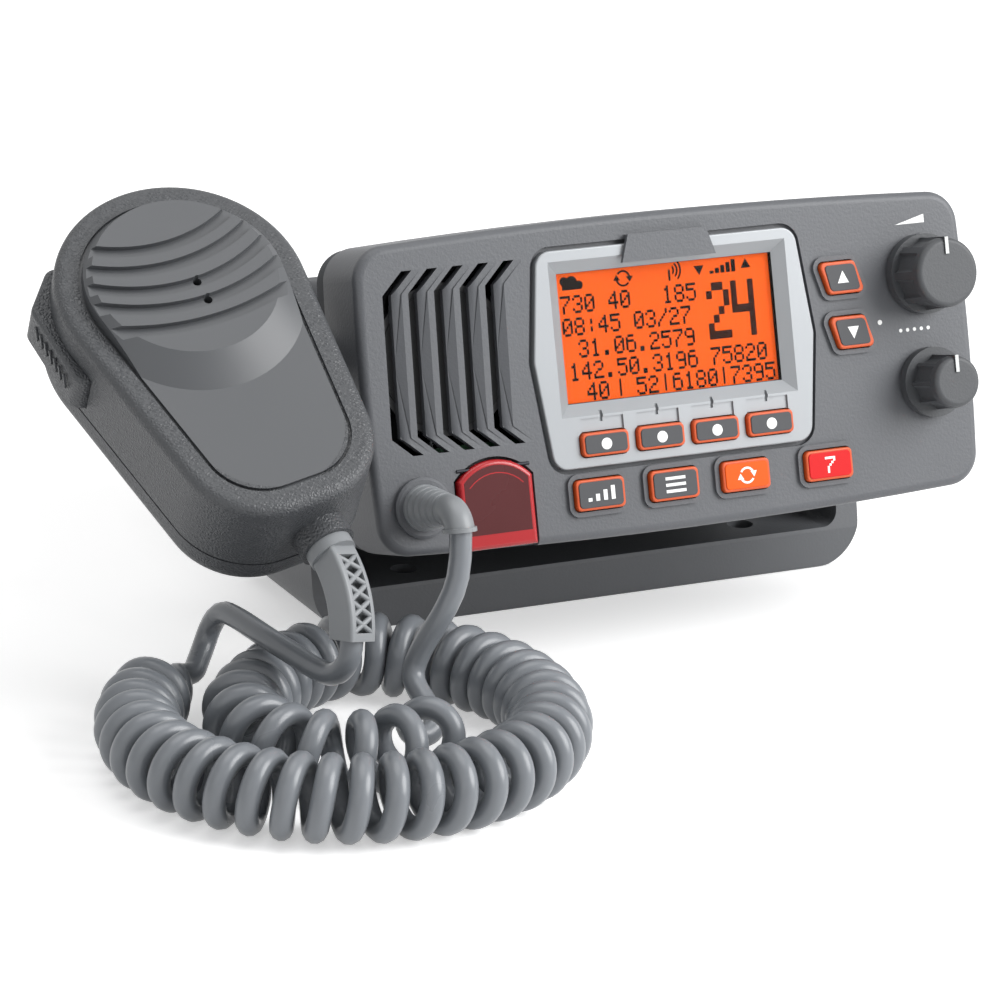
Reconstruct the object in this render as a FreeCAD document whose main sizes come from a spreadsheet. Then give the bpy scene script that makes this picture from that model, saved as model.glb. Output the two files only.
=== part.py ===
import FreeCAD, Part
import math
import os
import re
import Sketcher
from FreeCAD import Placement, Rotation, Vector

# Fixed-mount marine radio: a sealed front panel on a finned case, tilted in a
# gimbal bracket, with a fist microphone on a coiled lead. Origin: centre of the
# bracket's underside, X to the right of the face, Y to the back, Z up.

SIZES = {
    # how the radio sits in its bracket
    "tilt": "15.5", "pivot_height": "52.3", "pivot_depth": "65.4",
    # front panel: a shell with gently arched sides
    "panel_width": "160", "panel_height": "74.5", "panel_depth": "18.8", "panel_wall": "2.6",
    "panel_corner": "8", "panel_crown": "2.2", "panel_bow": "1.2", "panel_edge": "2",
    # seam and case
    "seam": "0.8", "seam_inset": "0.8", "flange_depth": "4", "case_width": "133",
    "case_height": "56", "case_back": "126", "case_wall": "2.5", "case_corner": "7",
    "fin_plate": "4", "fin_length": "10", "fin_thickness": "2.2", "fin_pitch": "12.4",
    # clearances
    "gap": "0.3", "running": "0.05", "panel_gap": "1",
    # display, its frame and its four keys
    "lcd_middle": "-0.3", "lcd_level": "9.75", "lcd_width": "56.4", "lcd_height": "30.3",
    "bezel_reach": "34.3", "bezel_bow": "2.5", "bezel_top": "30.4", "bezel_foot": "20.3",
    "bezel_corner": "4", "bezel_rise": "0.8", "bezel_sink": "1.3", "bevel": "2.9",
    "glass": "1.2", "lcd_border": "3.6", "lcd_depth": "6",
    "soft_key_width": "12.1", "soft_key_height": "5.5", "soft_key_pitch": "14.5",
    "soft_key_middle": "0.5", "soft_key_level": "15", "trough_rise": "6.1",
    "trough_depth": "0.5", "tick_width": "0.8", "tab_width": "24.5", "tab_middle": "-0.45",
    "tab_top_level": "32.4", "tab_foot_level": "26", "tab_rise": "1.9",
    # keys under and beside the display
    "lower_key_width": "12.6", "lower_key_height": "7.2", "lower_key_level": "26.5",
    "power_key_middle": "-23.8", "menu_key_middle": "-4.4", "scan_key_middle": "14.5",
    "priority_key_middle": "36.9", "channel_key_middle": "45.6", "channel_key_level": "10.65",
    "channel_key_width": "9.5", "channel_key_height": "7.7", "channel_key_pitch": "13.1",
    "channel_key_slant": "1.6", "key_corner": "1.2", "key_rise": "2", "key_travel": "0.6",
    "collar_rise": "0.8", "collar_rim": "1.4", "key_flange": "0.8", "key_stem": "1.5",
    # switches and boards
    "switch_width": "6", "switch_height": "3.4", "plunger": "0.2", "board_front": "11.5",
    "board_thickness": "1.6", "post_radius": "2.6", "screw_core": "1.5", "main_level": "19",
    "shield_height": "11", "shield_skin": "0.6", "shield_middle": "-22", "shield_depth": "62",
    "shield_reach": "26", "shield_half_depth": "22", "module_left": "12", "module_right": "40",
    "module_height": "9", "module_inset": "14", "module_length": "18",
    # rotary controls
    "dial_middle": "67.2", "volume_level": "16", "squelch_level": "10",
    "volume_radius": "8.2", "volume_skirt": "9.6", "squelch_radius": "6.1",
    "squelch_skirt": "8.4", "dial_height": "13.3", "dial_round": "1.2", "shaft_radius": "3",
    "bushing_radius": "4.4", "bushing_rise": "5.5", "encoder_width": "12.4",
    "encoder_front": "5", "knob_skirt_rise": "3", "grip_depth": "0.5", "grip_round": "1.3",
    "grip_nose": "2.6", "pointer_width": "1", "pointer_rise": "0.35", "pointer_reach": "3.8",
    # distress key under its sprung cover
    "cover_middle": "-49.7", "cover_width": "18.8", "cover_top": "15.7", "cover_foot": "36",
    "cover_arch": "12.4", "cover_rise": "1.2", "cover_back": "0.9", "cover_gap": "0.7",
    "well_depth": "4", "well_wall": "1.8", "cover_axis_level": "17.5",
    "cover_pin_radius": "0.4", "cover_pin_reach": "9.2", "knuckle": "1.1",
    "knuckle_inset": "4.8", "spring_wire": "0.15", "spring_room": "0.4", "distress_radius": "4.5",
    "distress_level": "27", "distress_front": "2.3", "distress_travel": "1",
    # loudspeaker and its slots
    "speaker_middle": "-57.7", "speaker_level": "8.2", "speaker_radius": "17.5",
    "speaker_depth": "12", "magnet_radius": "11", "slot_pitch": "6.43", "slot_width": "2.6",
    "slot_start": "-67.8", "slot_top": "29.2", "slot_foot": "12.8", "slot_lean": "5.2",
    "slope_reach": "2.2", "slope_depth": "1.1", "membrane": "0.4",
    # lead entry
    "gland_middle": "68.2", "gland_level": "24.7", "gland_radius": "7", "gland_rise": "1.6",
    "gland_thread": "5.5", "boot_length": "13", "boot_radius": "5.4", "boot_tip": "4.1",
    "elbow_radius": "3.4", "elbow_bend": "5", "elbow_ring": "0.5", "rib_depth": "0.7",
    # bracket
    "bracket_width": "149.5", "bracket_base": "46", "base_height": "10.6", "arm": "6",
    "bracket_corner": "12", "bracket_inner": "4", "arm_radius": "14", "base_skin": "3.2",
    "screw_spread": "46.4", "screw_inset": "12.7", "screw_hole": "3.3", "boss_radius": "6",
    "rib": "2", "pivot_hole": "3.2",
    "stud_radius": "3", "stud_reach": "58.6", "insert_radius": "5.5", "insert_length": "8",
    "insert_boss": "8", "washer_radius": "12", "knob_radius": "15", "knob_width": "11",
    "knob_lobe": "5", "knob_lobe_reach": "17.6",
    # rear sockets
    "antenna_middle": "46", "socket_level": "15", "socket_radius": "7.9",
    "socket_length": "14", "socket_flange": "12.7", "socket_bore": "2.1",
    "power_middle": "-46", "power_radius": "8", "power_length": "9", "power_bore": "4",
    # microphone
    "mic_head": "29", "mic_foot_reach": "4.2", "mic_foot_drop": "43.7",
    "mic_foot_radius": "18.8", "mic_front_depth": "20.6", "mic_back_depth": "8.8",
    "mic_wall": "2.4", "mic_edge": "2.4", "mic_back_edge": "5", "mic_seam": "0.5",
    "hump_radius": "21", "hump_rise": "4", "hump_foot_radius": "26.6", "hump_foot_drop": "3.4",
    "louver_width": "2.9", "louver_depth": "1.3", "mic_line": "5.4", "mic_line_width": "0.8",
    "ptt_top": "20.8", "ptt_foot": "11", "ptt_reach": "31.4", "ptt_front": "8",
    "ptt_back": "18", "ptt_travel": "1.2", "capsule_radius": "4.9", "capsule_depth": "6",
    "capsule_middle": "2", "capsule_level": "4.55", "mic_hole": "1", "hole_spread": "2.65",
    "board_level": "12.5", "switch_level": "5.5", "switch_half": "3.5", "ptt_stem_reach": "17.6",
    "collar_radius": "5.4", "collar_depth": "14", "collar_middle": "3.4", "collar_length": "6",
    "collar_sleeve": "4.4", "collar_skin": "1", "spigot": "4.2", "relief_half_width": "4",
    "relief_half_depth": "3.6", "relief_round": "0.8", "relief_rail": "1.5", "relief_window": "2.2",
    "relief_bar": "0.6", "relief_dimple": "1.1",
    # hang-up stud and the sheet hanger on the case
    "hang_level": "14", "hang_shaft": "2.4", "hang_head": "5.6",
    "hanger_sheet": "1.5", "hanger_gap": "2.6", "hook_radius": "11", "arm_offset": "6.5",
    "arm_half": "5", "tab_front": "25", "tab_back": "42", "tab_foot": "1.5",
    "tab_top": "21", "tab_screw": "1.6",
    # lead and its curls
    "cord_radius": "2.6", "coil_radius": "9.8", "coil_outer": "46", "coil_inner": "21",
    "coil_middle_left": "-101", "coil_middle_front": "-101", "coil_start": "114",
    "coil_turning": "420", "coil_turned": "470", "coil_end": "700", "coil_run": "16",
}

FRONT, LEVEL, SIDE = "XZ_Plane", "XY_Plane", "YZ_Plane"
SEAM_BACK = "(panel_depth + seam)"
FLANGE_BACK = "(panel_depth + seam + flange_depth)"
CASE_SIDE = "(case_width / 2)"
BOARD_BACK = "(board_front + board_thickness)"
SWITCH_FRONT = "(board_front - switch_height - plunger)"
ARM_INSIDE = "(bracket_width / 2 - arm)"
ARM_OUTSIDE = "(bracket_width / 2)"
WELL_REACH = "(cover_width / 2 + cover_gap)"
MIC_BACK = "(mic_front_depth + mic_back_depth)"
BEVEL_SLOPE = "atan(bevel / (bezel_rise + bezel_sink))"
RING_TURNS = 4
SLOTS = 5
FINS = 11
GRIPS = 8
BOOT_RIBS = 5
GRIP_ANGLES = (14, 31)
RELIEF_CELLS = 5
WINDOW_START, WINDOW_END = 0.14, 0.92
LOWER_KEYS = {"power_level_key": "power_key_middle", "menu_key": "menu_key_middle",
              "scan_key": "scan_key_middle", "priority_key": "priority_key_middle"}
CHANNEL_KEYS = {"channel_up_key": "1", "channel_down_key": "-1"}
LOWER_MIDDLES = list(LOWER_KEYS.values())
DIAL_LEVELS = ("volume_level", "-(squelch_level)")

# places of posts and screws, across and up or back and up
BOARD_POSTS = (("-34", "-31"), ("62", "-31"), ("40", "31"), ("-33", "31.5"))
PANEL_SCREWS = (("-73.9", "-12.5"), ("72.4", "-28.8"), ("72.4", "28.8"), ("-72.4", "28.8"))
MIC_POSTS = (("14", "8"), ("18", "-8"), ("-6", "-38"))
MIC_SCREWS = (("-13", "20"), ("13", "20"), ("-14", "-50"), ("14", "-50"))
TAB_SCREWS = (("tab_back - 5", "tab_foot + 4.5"), ("tab_back - 5", "tab_top - 4.5"))

# centre and radius of the upper edge of each arc-shaped groove on the microphone
LOUVERS = (("1.3", "44.5", "34.2"), ("1.1", "44.7", "39.8"), ("1.4", "38.6", "39.7"),
           ("2.4", "39.1", "45.5"), ("2.9", "47.5", "59.3"))

# where the microphone hangs, and the points that its lead and the radio's pass
MICROPHONE_ORIGIN = (-117.86, -48.35, 97.74)
MICROPHONE_TURN = (4.6, -10.8, -53.0)
RELIEF_END = (-100.7, -104.2, 30.0)
RADIO_LEAD = ((-69.0, -92.9, 38.0), (-73.6, -94.1, 29.6), (-77.6, -95.0, 21.4), (-80.4, -99.0, 14.2))
MICROPHONE_LEAD = ((-101.1, -104.8, 27.1), (-102.0, -104.2, 24.3), (-103.0, -102.5, 22.1),
                   (-104.1, -99.9, 20.9), (-105.6, -95.1, 21.1), (-107.6, -88.0, 22.3),
                   (-109.9, -78.0, 23.2), (-111.2, -65.0, 23.6), (-112.0, -56.6, 23.0),
                   (-113.2, -53.2, 18.6), (-115.2, -53.6, 13.6))

document = FreeCAD.newDocument("marine_radio")
sheet = document.addObject("Spreadsheet::Sheet", "Sizes")
for row, (alias, text) in enumerate(SIZES.items(), 1):
    sheet.set(f"A{row}", alias)
    sheet.set(f"B{row}", text)
    sheet.setAlias(f"B{row}", alias)
document.recompute()

nodes = []


def formula(text):
    """The text with every size's name turned into its cell."""
    return re.sub(r"[a-z_]+", lambda word: "Sizes." + word[0] if word[0] in SIZES else word[0], text)


def number(text):
    return float(sheet.evalExpression(formula(text)))


def point(across, up):
    return Vector(number(across), number(up), 0)


# ---- sketch outlines: each returns a function that draws into a sketch ----

def tie(drawing, constraint, text):
    index = drawing.addConstraint(constraint)
    drawing.setExpression(f"Constraints[{index}]", formula(text))


def hold(drawing, edge, end, across, up):
    tie(drawing, Sketcher.Constraint("DistanceX", -1, 1, edge, end, number(across)), across)
    tie(drawing, Sketcher.Constraint("DistanceY", -1, 1, edge, end, number(up)), up)


def circle(across, up, radius):
    def draw(drawing):
        edge = drawing.addGeometry(Part.Circle(point(across, up), Vector(0, 0, 1), number(radius)), False)
        hold(drawing, edge, 3, across, up)
        tie(drawing, Sketcher.Constraint("Radius", edge, number(radius)), radius)
    return draw


def polygon(*corners):
    def draw(drawing):
        places = [point(across, up) for across, up in corners]
        first = drawing.GeometryCount
        for index, place in enumerate(places):
            drawing.addGeometry(Part.LineSegment(place, places[(index + 1) % len(places)]), False)
        for index, (across, up) in enumerate(corners):
            following = first + (index + 1) % len(corners)
            drawing.addConstraint(Sketcher.Constraint("Coincident", first + index, 2, following, 1))
            hold(drawing, first + index, 1, across, up)
    return draw


def rectangle(left, right, foot, top):
    return polygon((left, foot), (right, foot), (right, top), (left, top))


def hull(*circles):
    """Outline drawn tight round circles (across, up, radius) listed anticlockwise."""
    def draw(drawing):
        middles = [point(across, up) for across, up, radius in circles]
        radii = [number(radius) for across, up, radius in circles]
        count = len(circles)
        normals = []
        for index in range(count):
            step = middles[(index + 1) % count] - middles[index]
            lean = (radii[index] - radii[(index + 1) % count]) / step.Length
            along = step.normalize()
            outward = Vector(along.y, -along.x, 0)
            normals.append(along * lean + outward * math.sqrt(1 - lean * lean))
        first = drawing.GeometryCount
        for index in range(count):
            start = math.atan2(normals[index - 1].y, normals[index - 1].x)
            finish = math.atan2(normals[index].y, normals[index].x)
            round_edge = Part.Circle(middles[index], Vector(0, 0, 1), radii[index])
            drawing.addGeometry(Part.ArcOfCircle(round_edge, start, finish), False)
            following = (index + 1) % count
            begin = middles[index] + normals[index] * radii[index]
            end = middles[following] + normals[index] * radii[following]
            drawing.addGeometry(Part.LineSegment(begin, end), False)
        for index, (across, up, radius) in enumerate(circles):
            arc = first + 2 * index
            following = first + 2 * ((index + 1) % count)
            hold(drawing, arc, 3, across, up)
            tie(drawing, Sketcher.Constraint("Radius", arc, radii[index]), radius)
            drawing.addConstraint(Sketcher.Constraint("Tangent", arc, 2, arc + 1, 1))
            drawing.addConstraint(Sketcher.Constraint("Tangent", arc + 1, 2, following, 1))
    return draw


def rounded(across, up, half_width, half_height, radius):
    reach, rise = f"(({half_width}) - ({radius}))", f"(({half_height}) - ({radius}))"
    signs = (("-", "-"), ("+", "-"), ("+", "+"), ("-", "+"))
    return hull(*[(f"({across}) {a} {reach}", f"({up}) {b} {rise}", radius) for a, b in signs])


def arched(across, foot, top, reach, bow, crown):
    """Four-sided outline whose sides bow outward by bow and whose ends by crown."""
    corners = ((f"({across}) - ({reach})", foot), (f"({across}) + ({reach})", foot),
               (f"({across}) + ({reach})", top), (f"({across}) - ({reach})", top))
    middle = f"((({foot}) + ({top})) / 2)"
    bulges = ((across, f"({foot}) - ({crown})"), (f"({across}) + ({reach}) + ({bow})", middle),
              (across, f"({top}) + ({crown})"), (f"({across}) - ({reach}) - ({bow})", middle))
    halves = (reach, f"((({top}) - ({foot})) / 2)") * 2
    heights = (crown, bow) * 2

    def draw(drawing):
        first = drawing.GeometryCount
        for index in range(4):
            start, finish = corners[index], corners[(index + 1) % 4]
            drawing.addGeometry(Part.Arc(point(*start), point(*bulges[index]), point(*finish)), False)
        for index in range(4):
            following = first + (index + 1) % 4
            drawing.addConstraint(Sketcher.Constraint("Coincident", first + index, 2, following, 1))
            hold(drawing, first + index, 1, *corners[index])
            half, height = halves[index], heights[index]
            radius = f"(pow({half}; 2) + pow({height}; 2)) / (2 * ({height}))"
            tie(drawing, Sketcher.Constraint("Radius", first + index, number(radius)), radius)
    return draw


# ---- solids ----

def body(name, place=Placement()):
    item = document.addObject("PartDesign::Body", name)
    item.Label = name
    item.Placement = place
    nodes.append(item)
    return item


def origin_part(item, role):
    return [feature for feature in item.Origin.OriginFeatures if feature.Role == role][0]


def sketch(item, name, role, start, outlines):
    drawing = item.newObject("Sketcher::SketchObject", name + "_outline")
    drawing.AttachmentSupport = [(origin_part(item, role), "")]
    drawing.MapMode = "FlatFace"
    sign = "-" if role == FRONT else ""
    drawing.setExpression("AttachmentOffset.Base.z", formula(f"{sign}({start})"))
    for outline in outlines:
        outline(drawing)
    return drawing


def extrude(item, name, role, start, finish, outlines, remove, slope="0"):
    drawing = sketch(item, name, role, start, outlines)
    feature = item.newObject("PartDesign::Pocket" if remove else "PartDesign::Pad", name)
    feature.Profile = drawing
    feature.Reversed = (role == FRONT) != remove
    feature.setExpression("Length", formula(f"({finish}) - ({start})"))
    feature.setExpression("TaperAngle", formula(slope))
    return feature


def add(item, name, role, start, finish, *outlines, slope="0"):
    return extrude(item, name, role, start, finish, outlines, False, slope)


def cut(item, name, role, start, finish, *outlines, slope="0"):
    return extrude(item, name, role, start, finish, outlines, True, slope)


def turn(item, name, *corners):
    """Profile (radius, depth) turned about the body's own Y axis."""
    drawing = sketch(item, name, LEVEL, "0", [polygon(*corners)])
    feature = item.newObject("PartDesign::Revolution", name)
    feature.Profile = drawing
    feature.ReferenceAxis = (drawing, ["V_Axis"])
    feature.Angle = 360
    return feature


def loft(item, name, start, first, finish, last):
    """Skin between an outline at one depth and another at a second depth."""
    profile = sketch(item, name, FRONT, start, [first])
    section = sketch(item, name + "_end", FRONT, finish, [last])
    feature = item.newObject("PartDesign::AdditiveLoft", name)
    feature.Profile = profile
    feature.Sections = [section]
    return feature


def repeat(item, name, feature, count):
    """The feature again, spread evenly round the body's own Y axis."""
    pattern = item.newObject("PartDesign::PolarPattern", name)
    pattern.Originals = [feature]
    pattern.Axis = (feature.Profile[0], ["N_Axis"])
    pattern.Angle = 360
    pattern.Occurrences = count
    item.Tip = pattern
    return pattern


def soften(item, kind, name, size, choose):
    """Fillet or chamfer on the edges of the body so far that choose picks."""
    document.recompute()
    base = item.Tip
    edges = [f"Edge{index}" for index, edge in enumerate(base.Shape.Edges, 1) if choose(edge)]
    feature = item.newObject("PartDesign::" + kind, name)
    feature.Base = (base, edges)
    feature.setExpression("Radius" if kind == "Fillet" else "Size", formula(size))
    return feature


def ends(edge):
    middle = edge.valueAt((edge.FirstParameter + edge.LastParameter) / 2)
    return [edge.Vertexes[0].Point, edge.Vertexes[-1].Point, middle]


def in_plane(axis, text):
    value = number(text)
    return lambda edge: all(abs(place[axis] - value) < 1e-3 for place in ends(edge))


def along(axis, *limits):
    """Straight edges along an axis; limits are (axis, least, most) of the edge's middle."""
    others = [index for index in range(3) if index != axis]
    bounds = [(index, number(least), number(most)) for index, least, most in limits]

    def choose(edge):
        start, finish, middle = ends(edge)
        straight = all(abs(start[index] - finish[index]) < 1e-4 for index in others)
        inside = all(least <= middle[index] <= most for index, least, most in bounds)
        return straight and edge.Length > 0.1 and inside
    return choose


def solid(name, shape, place=Placement()):
    item = document.addObject("Part::Feature", name)
    item.Label = name
    item.Shape = shape
    item.Placement = place
    nodes.append(item)
    return item


tilt = Rotation(Vector(1, 0, 0), -number("tilt"))
radio_place = Placement(Vector(0, 0, number("pivot_height")), tilt)
radio_place = radio_place * Placement(Vector(0, -number("pivot_depth"), 0), Rotation())
microphone_place = Placement(Vector(*MICROPHONE_ORIGIN), Rotation(*MICROPHONE_TURN))


def on_face(across, up, depth="0"):
    shift = Vector(number(across), number(depth), number(up))
    return radio_place * Placement(shift, Rotation())


# ---- front panel ----

def panel_outline(inset):
    return arched("0", f"-(panel_height / 2 - panel_crown - ({inset}))",
                  f"panel_height / 2 - panel_crown - ({inset})",
                  f"panel_width / 2 - panel_bow - ({inset})", "panel_bow", "panel_crown")


def bezel_outline(outset):
    return hull(*[(f"lcd_middle {a} (bezel_reach - bezel_corner)", f"{b}",
                   f"bezel_corner + ({outset})") for a, b in
                  (("-", "-(bezel_foot - bezel_corner)"), ("+", "-(bezel_foot - bezel_corner)"),
                   ("+ bezel_bow +", "(bezel_top - bezel_foot) / 2"),
                   ("+", "bezel_top - bezel_corner"), ("-", "bezel_top - bezel_corner"),
                   ("- bezel_bow -", "(bezel_top - bezel_foot) / 2"))])


def soft_key_middle(index):
    return f"(soft_key_middle + ({index - 1.5}) * soft_key_pitch)"


def soft_key_outline(index, outset):
    return rounded(soft_key_middle(index), "-(soft_key_level)", f"soft_key_width / 2 + ({outset})",
                   f"soft_key_height / 2 + ({outset})", f"key_corner + ({outset})")


def lower_key_outline(middle, outset):
    return rounded(middle, "-(lower_key_level)", f"lower_key_width / 2 + ({outset})",
                   f"lower_key_height / 2 + ({outset})", f"key_corner + ({outset})")


def channel_key_place(side):
    return (f"(channel_key_middle - ({side}) * 0.5 * channel_key_slant)",
            f"(channel_key_level + ({side}) * channel_key_pitch / 2)")


def channel_key_outline(side, outset):
    """Rounded key that leans with the panel's styling lines."""
    across, up = channel_key_place(side)
    reach = "(channel_key_width / 2 - key_corner)"
    rise = "(channel_key_height / 2 - key_corner)"
    lean = "(channel_key_slant / 2)"
    signs = (("-", "+", "-"), ("+", "+", "-"), ("+", "-", "+"), ("-", "-", "+"))
    return hull(*[(f"{across} {a} {reach} {b} {lean}", f"{up} {c} {rise}",
                   f"key_corner + ({outset})") for a, b, c in signs])


def cover_outline(outset, foot):
    """Arch-topped outline of the cover, closed by a straight foot."""
    reach = f"(cover_width / 2 + ({outset}))"
    radius = f"(cover_arch + ({outset}))"
    centre = "(-(cover_top) - cover_arch)"
    shoulder = f"({centre} + sqrt(pow({radius}; 2) - pow({reach}; 2)))"
    corners = ((f"cover_middle - {reach}", foot), (f"cover_middle + {reach}", foot),
               (f"cover_middle + {reach}", shoulder), (f"cover_middle - {reach}", shoulder))

    def draw(drawing):
        places = [point(*corner) for corner in corners]
        first = drawing.GeometryCount
        drawing.addGeometry(Part.LineSegment(places[3], places[0]), False)
        drawing.addGeometry(Part.LineSegment(places[0], places[1]), False)
        drawing.addGeometry(Part.LineSegment(places[1], places[2]), False)
        crown = point("cover_middle", f"{centre} + {radius}")
        drawing.addGeometry(Part.Arc(places[2], crown, places[3]), False)
        for index in range(4):
            following = first + (index + 1) % 4
            drawing.addConstraint(Sketcher.Constraint("Coincident", first + index, 2, following, 1))
            hold(drawing, first + index, 1, *corners[index - 1])
        tie(drawing, Sketcher.Constraint("Radius", first + 3, number(radius)), radius)
    return draw


def speaker_slot(index, width):
    start = f"(slot_start + {index} * slot_pitch)"
    lean_top, lean_foot = "(slot_top - slot_lean)", "(slot_lean - 1 - slot_foot)"
    left = ((start, "slot_top"), (f"{start} - slot_lean", lean_top),
            (f"{start} - 1.2 * slot_lean", lean_foot), (f"{start} - slot_lean / 4", "-(slot_foot)"))
    right = tuple((f"{across} + {width}", up) for across, up in reversed(left))
    return polygon(*(left + right))


def make_front_panel():
    panel = body("front_panel", radio_place)
    add(panel, "block", FRONT, "0", "panel_depth", panel_outline("0"))
    soften(panel, "Fillet", "corners", "panel_corner", along(1))
    soften(panel, "Fillet", "front_edge", "panel_edge", in_plane(1, "0"))
    cut(panel, "cavity", FRONT, "panel_wall", "panel_depth",
        rounded("0", "0", "panel_width / 2 - panel_bow - panel_wall",
                "panel_height / 2 - panel_crown - panel_wall", "panel_corner - panel_wall"))
    add(panel, "well_boss", FRONT, "panel_wall - gap", "well_depth + well_wall",
        rectangle(f"cover_middle - {WELL_REACH} - well_wall", f"cover_middle + {WELL_REACH} + well_wall",
                  "-(panel_height / 2 - panel_crown)", "-(cover_top - cover_gap - well_wall)"))
    posts = [circle(across, up, "post_radius") for across, up in BOARD_POSTS]
    add(panel, "board_posts", FRONT, "panel_wall - gap", "board_front", *posts)
    bosses = [circle(across, up, "post_radius") for across, up in PANEL_SCREWS]
    add(panel, "screw_bosses", FRONT, "panel_wall - gap", "panel_depth", *bosses)
    add(panel, "speaker_ring", FRONT, "panel_wall - gap", "panel_wall + membrane",
        circle("speaker_middle", "speaker_level", "speaker_radius + 1"),
        circle("speaker_middle", "speaker_level", "speaker_radius - 1.5"))
    keys = [lambda outset, middle=middle: lower_key_outline(middle, outset) for middle in LOWER_MIDDLES]
    keys += [lambda outset, side=side: channel_key_outline(side, outset) for side in CHANNEL_KEYS.values()]
    for outline in keys:
        add(panel, "key_collar", FRONT, "-(collar_rise)", "panel_wall / 2", outline("collar_rim"))
        cut(panel, "key_opening", FRONT, "-(collar_rise) - 1", "panel_wall + 1", outline("gap"))
    for index in range(4):
        cut(panel, "soft_key_opening", FRONT, "-1", "panel_wall + 1", soft_key_outline(index, "gap"))
    cut(panel, "window", FRONT, "-1", "panel_wall + 1",
        rectangle("lcd_middle - lcd_width / 2 - bevel", "lcd_middle + lcd_width / 2 + bevel",
                  "lcd_level - lcd_height / 2 - bevel", "lcd_level + lcd_height / 2 + bevel"))
    for level in DIAL_LEVELS:
        cut(panel, "dial_hole", FRONT, "-1", "panel_wall + 1",
            circle("dial_middle", level, "bushing_radius + gap / 2"))
    cut(panel, "gland_hole", FRONT, "-1", "panel_wall + 1",
        circle("-(gland_middle)", "-(gland_level)", "gland_thread"))
    for index in range(SLOTS):
        cut(panel, "speaker_slot", FRONT, "-1", "panel_wall + 1", speaker_slot(index, "slot_width"))
        cut(panel, "slot_slope", FRONT, "0", "slope_depth", speaker_slot(index, "slot_width + slope_reach"),
            slope="-atan(slope_reach / slope_depth)")
    cut(panel, "bezel_seat", FRONT, "-1", "bezel_sink", bezel_outline("panel_gap"))
    tab = [(f"tab_middle {a} (tab_width / 2 - ({b}))", level) for a, b, level in
           (("-", "0", "tab_foot_level"), ("+", "0", "tab_foot_level"), ("+", "2", "tab_top_level"),
            ("-", "2", "tab_top_level"))]
    add(panel, "tab", FRONT, "-(tab_rise)", "-(bezel_rise + gap / 3)", polygon(*tab))
    add(panel, "tab_root", FRONT, "-(tab_rise)", "panel_wall / 2",
        rectangle("tab_middle - tab_width / 2 + 2", "tab_middle + tab_width / 2 - 2",
                  "bezel_top + panel_gap", "tab_top_level"))
    cut(panel, "well", FRONT, "-1", "well_depth", cover_outline("cover_gap", "-(panel_height)"))
    cut(panel, "distress_opening", FRONT, "0", "well_depth + well_wall + 1",
        circle("cover_middle", "-(distress_level)", "distress_radius + gap"))
    cut(panel, "pin_holes", SIDE, "cover_middle - cover_pin_reach", "cover_middle + cover_pin_reach",
        circle("0", "-(cover_axis_level)", "cover_pin_radius"))
    cut(panel, "screw_bores", FRONT, "panel_wall + 2", "panel_depth + 1",
        *[circle(across, up, "screw_core") for across, up in PANEL_SCREWS])


def near_window(edge):
    middle = ends(edge)[2]
    across = abs(middle.x - number("lcd_middle")) < number("lcd_width / 2 + bevel + 0.5")
    return across and middle.z > -number("soft_key_level + soft_key_height")


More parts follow.
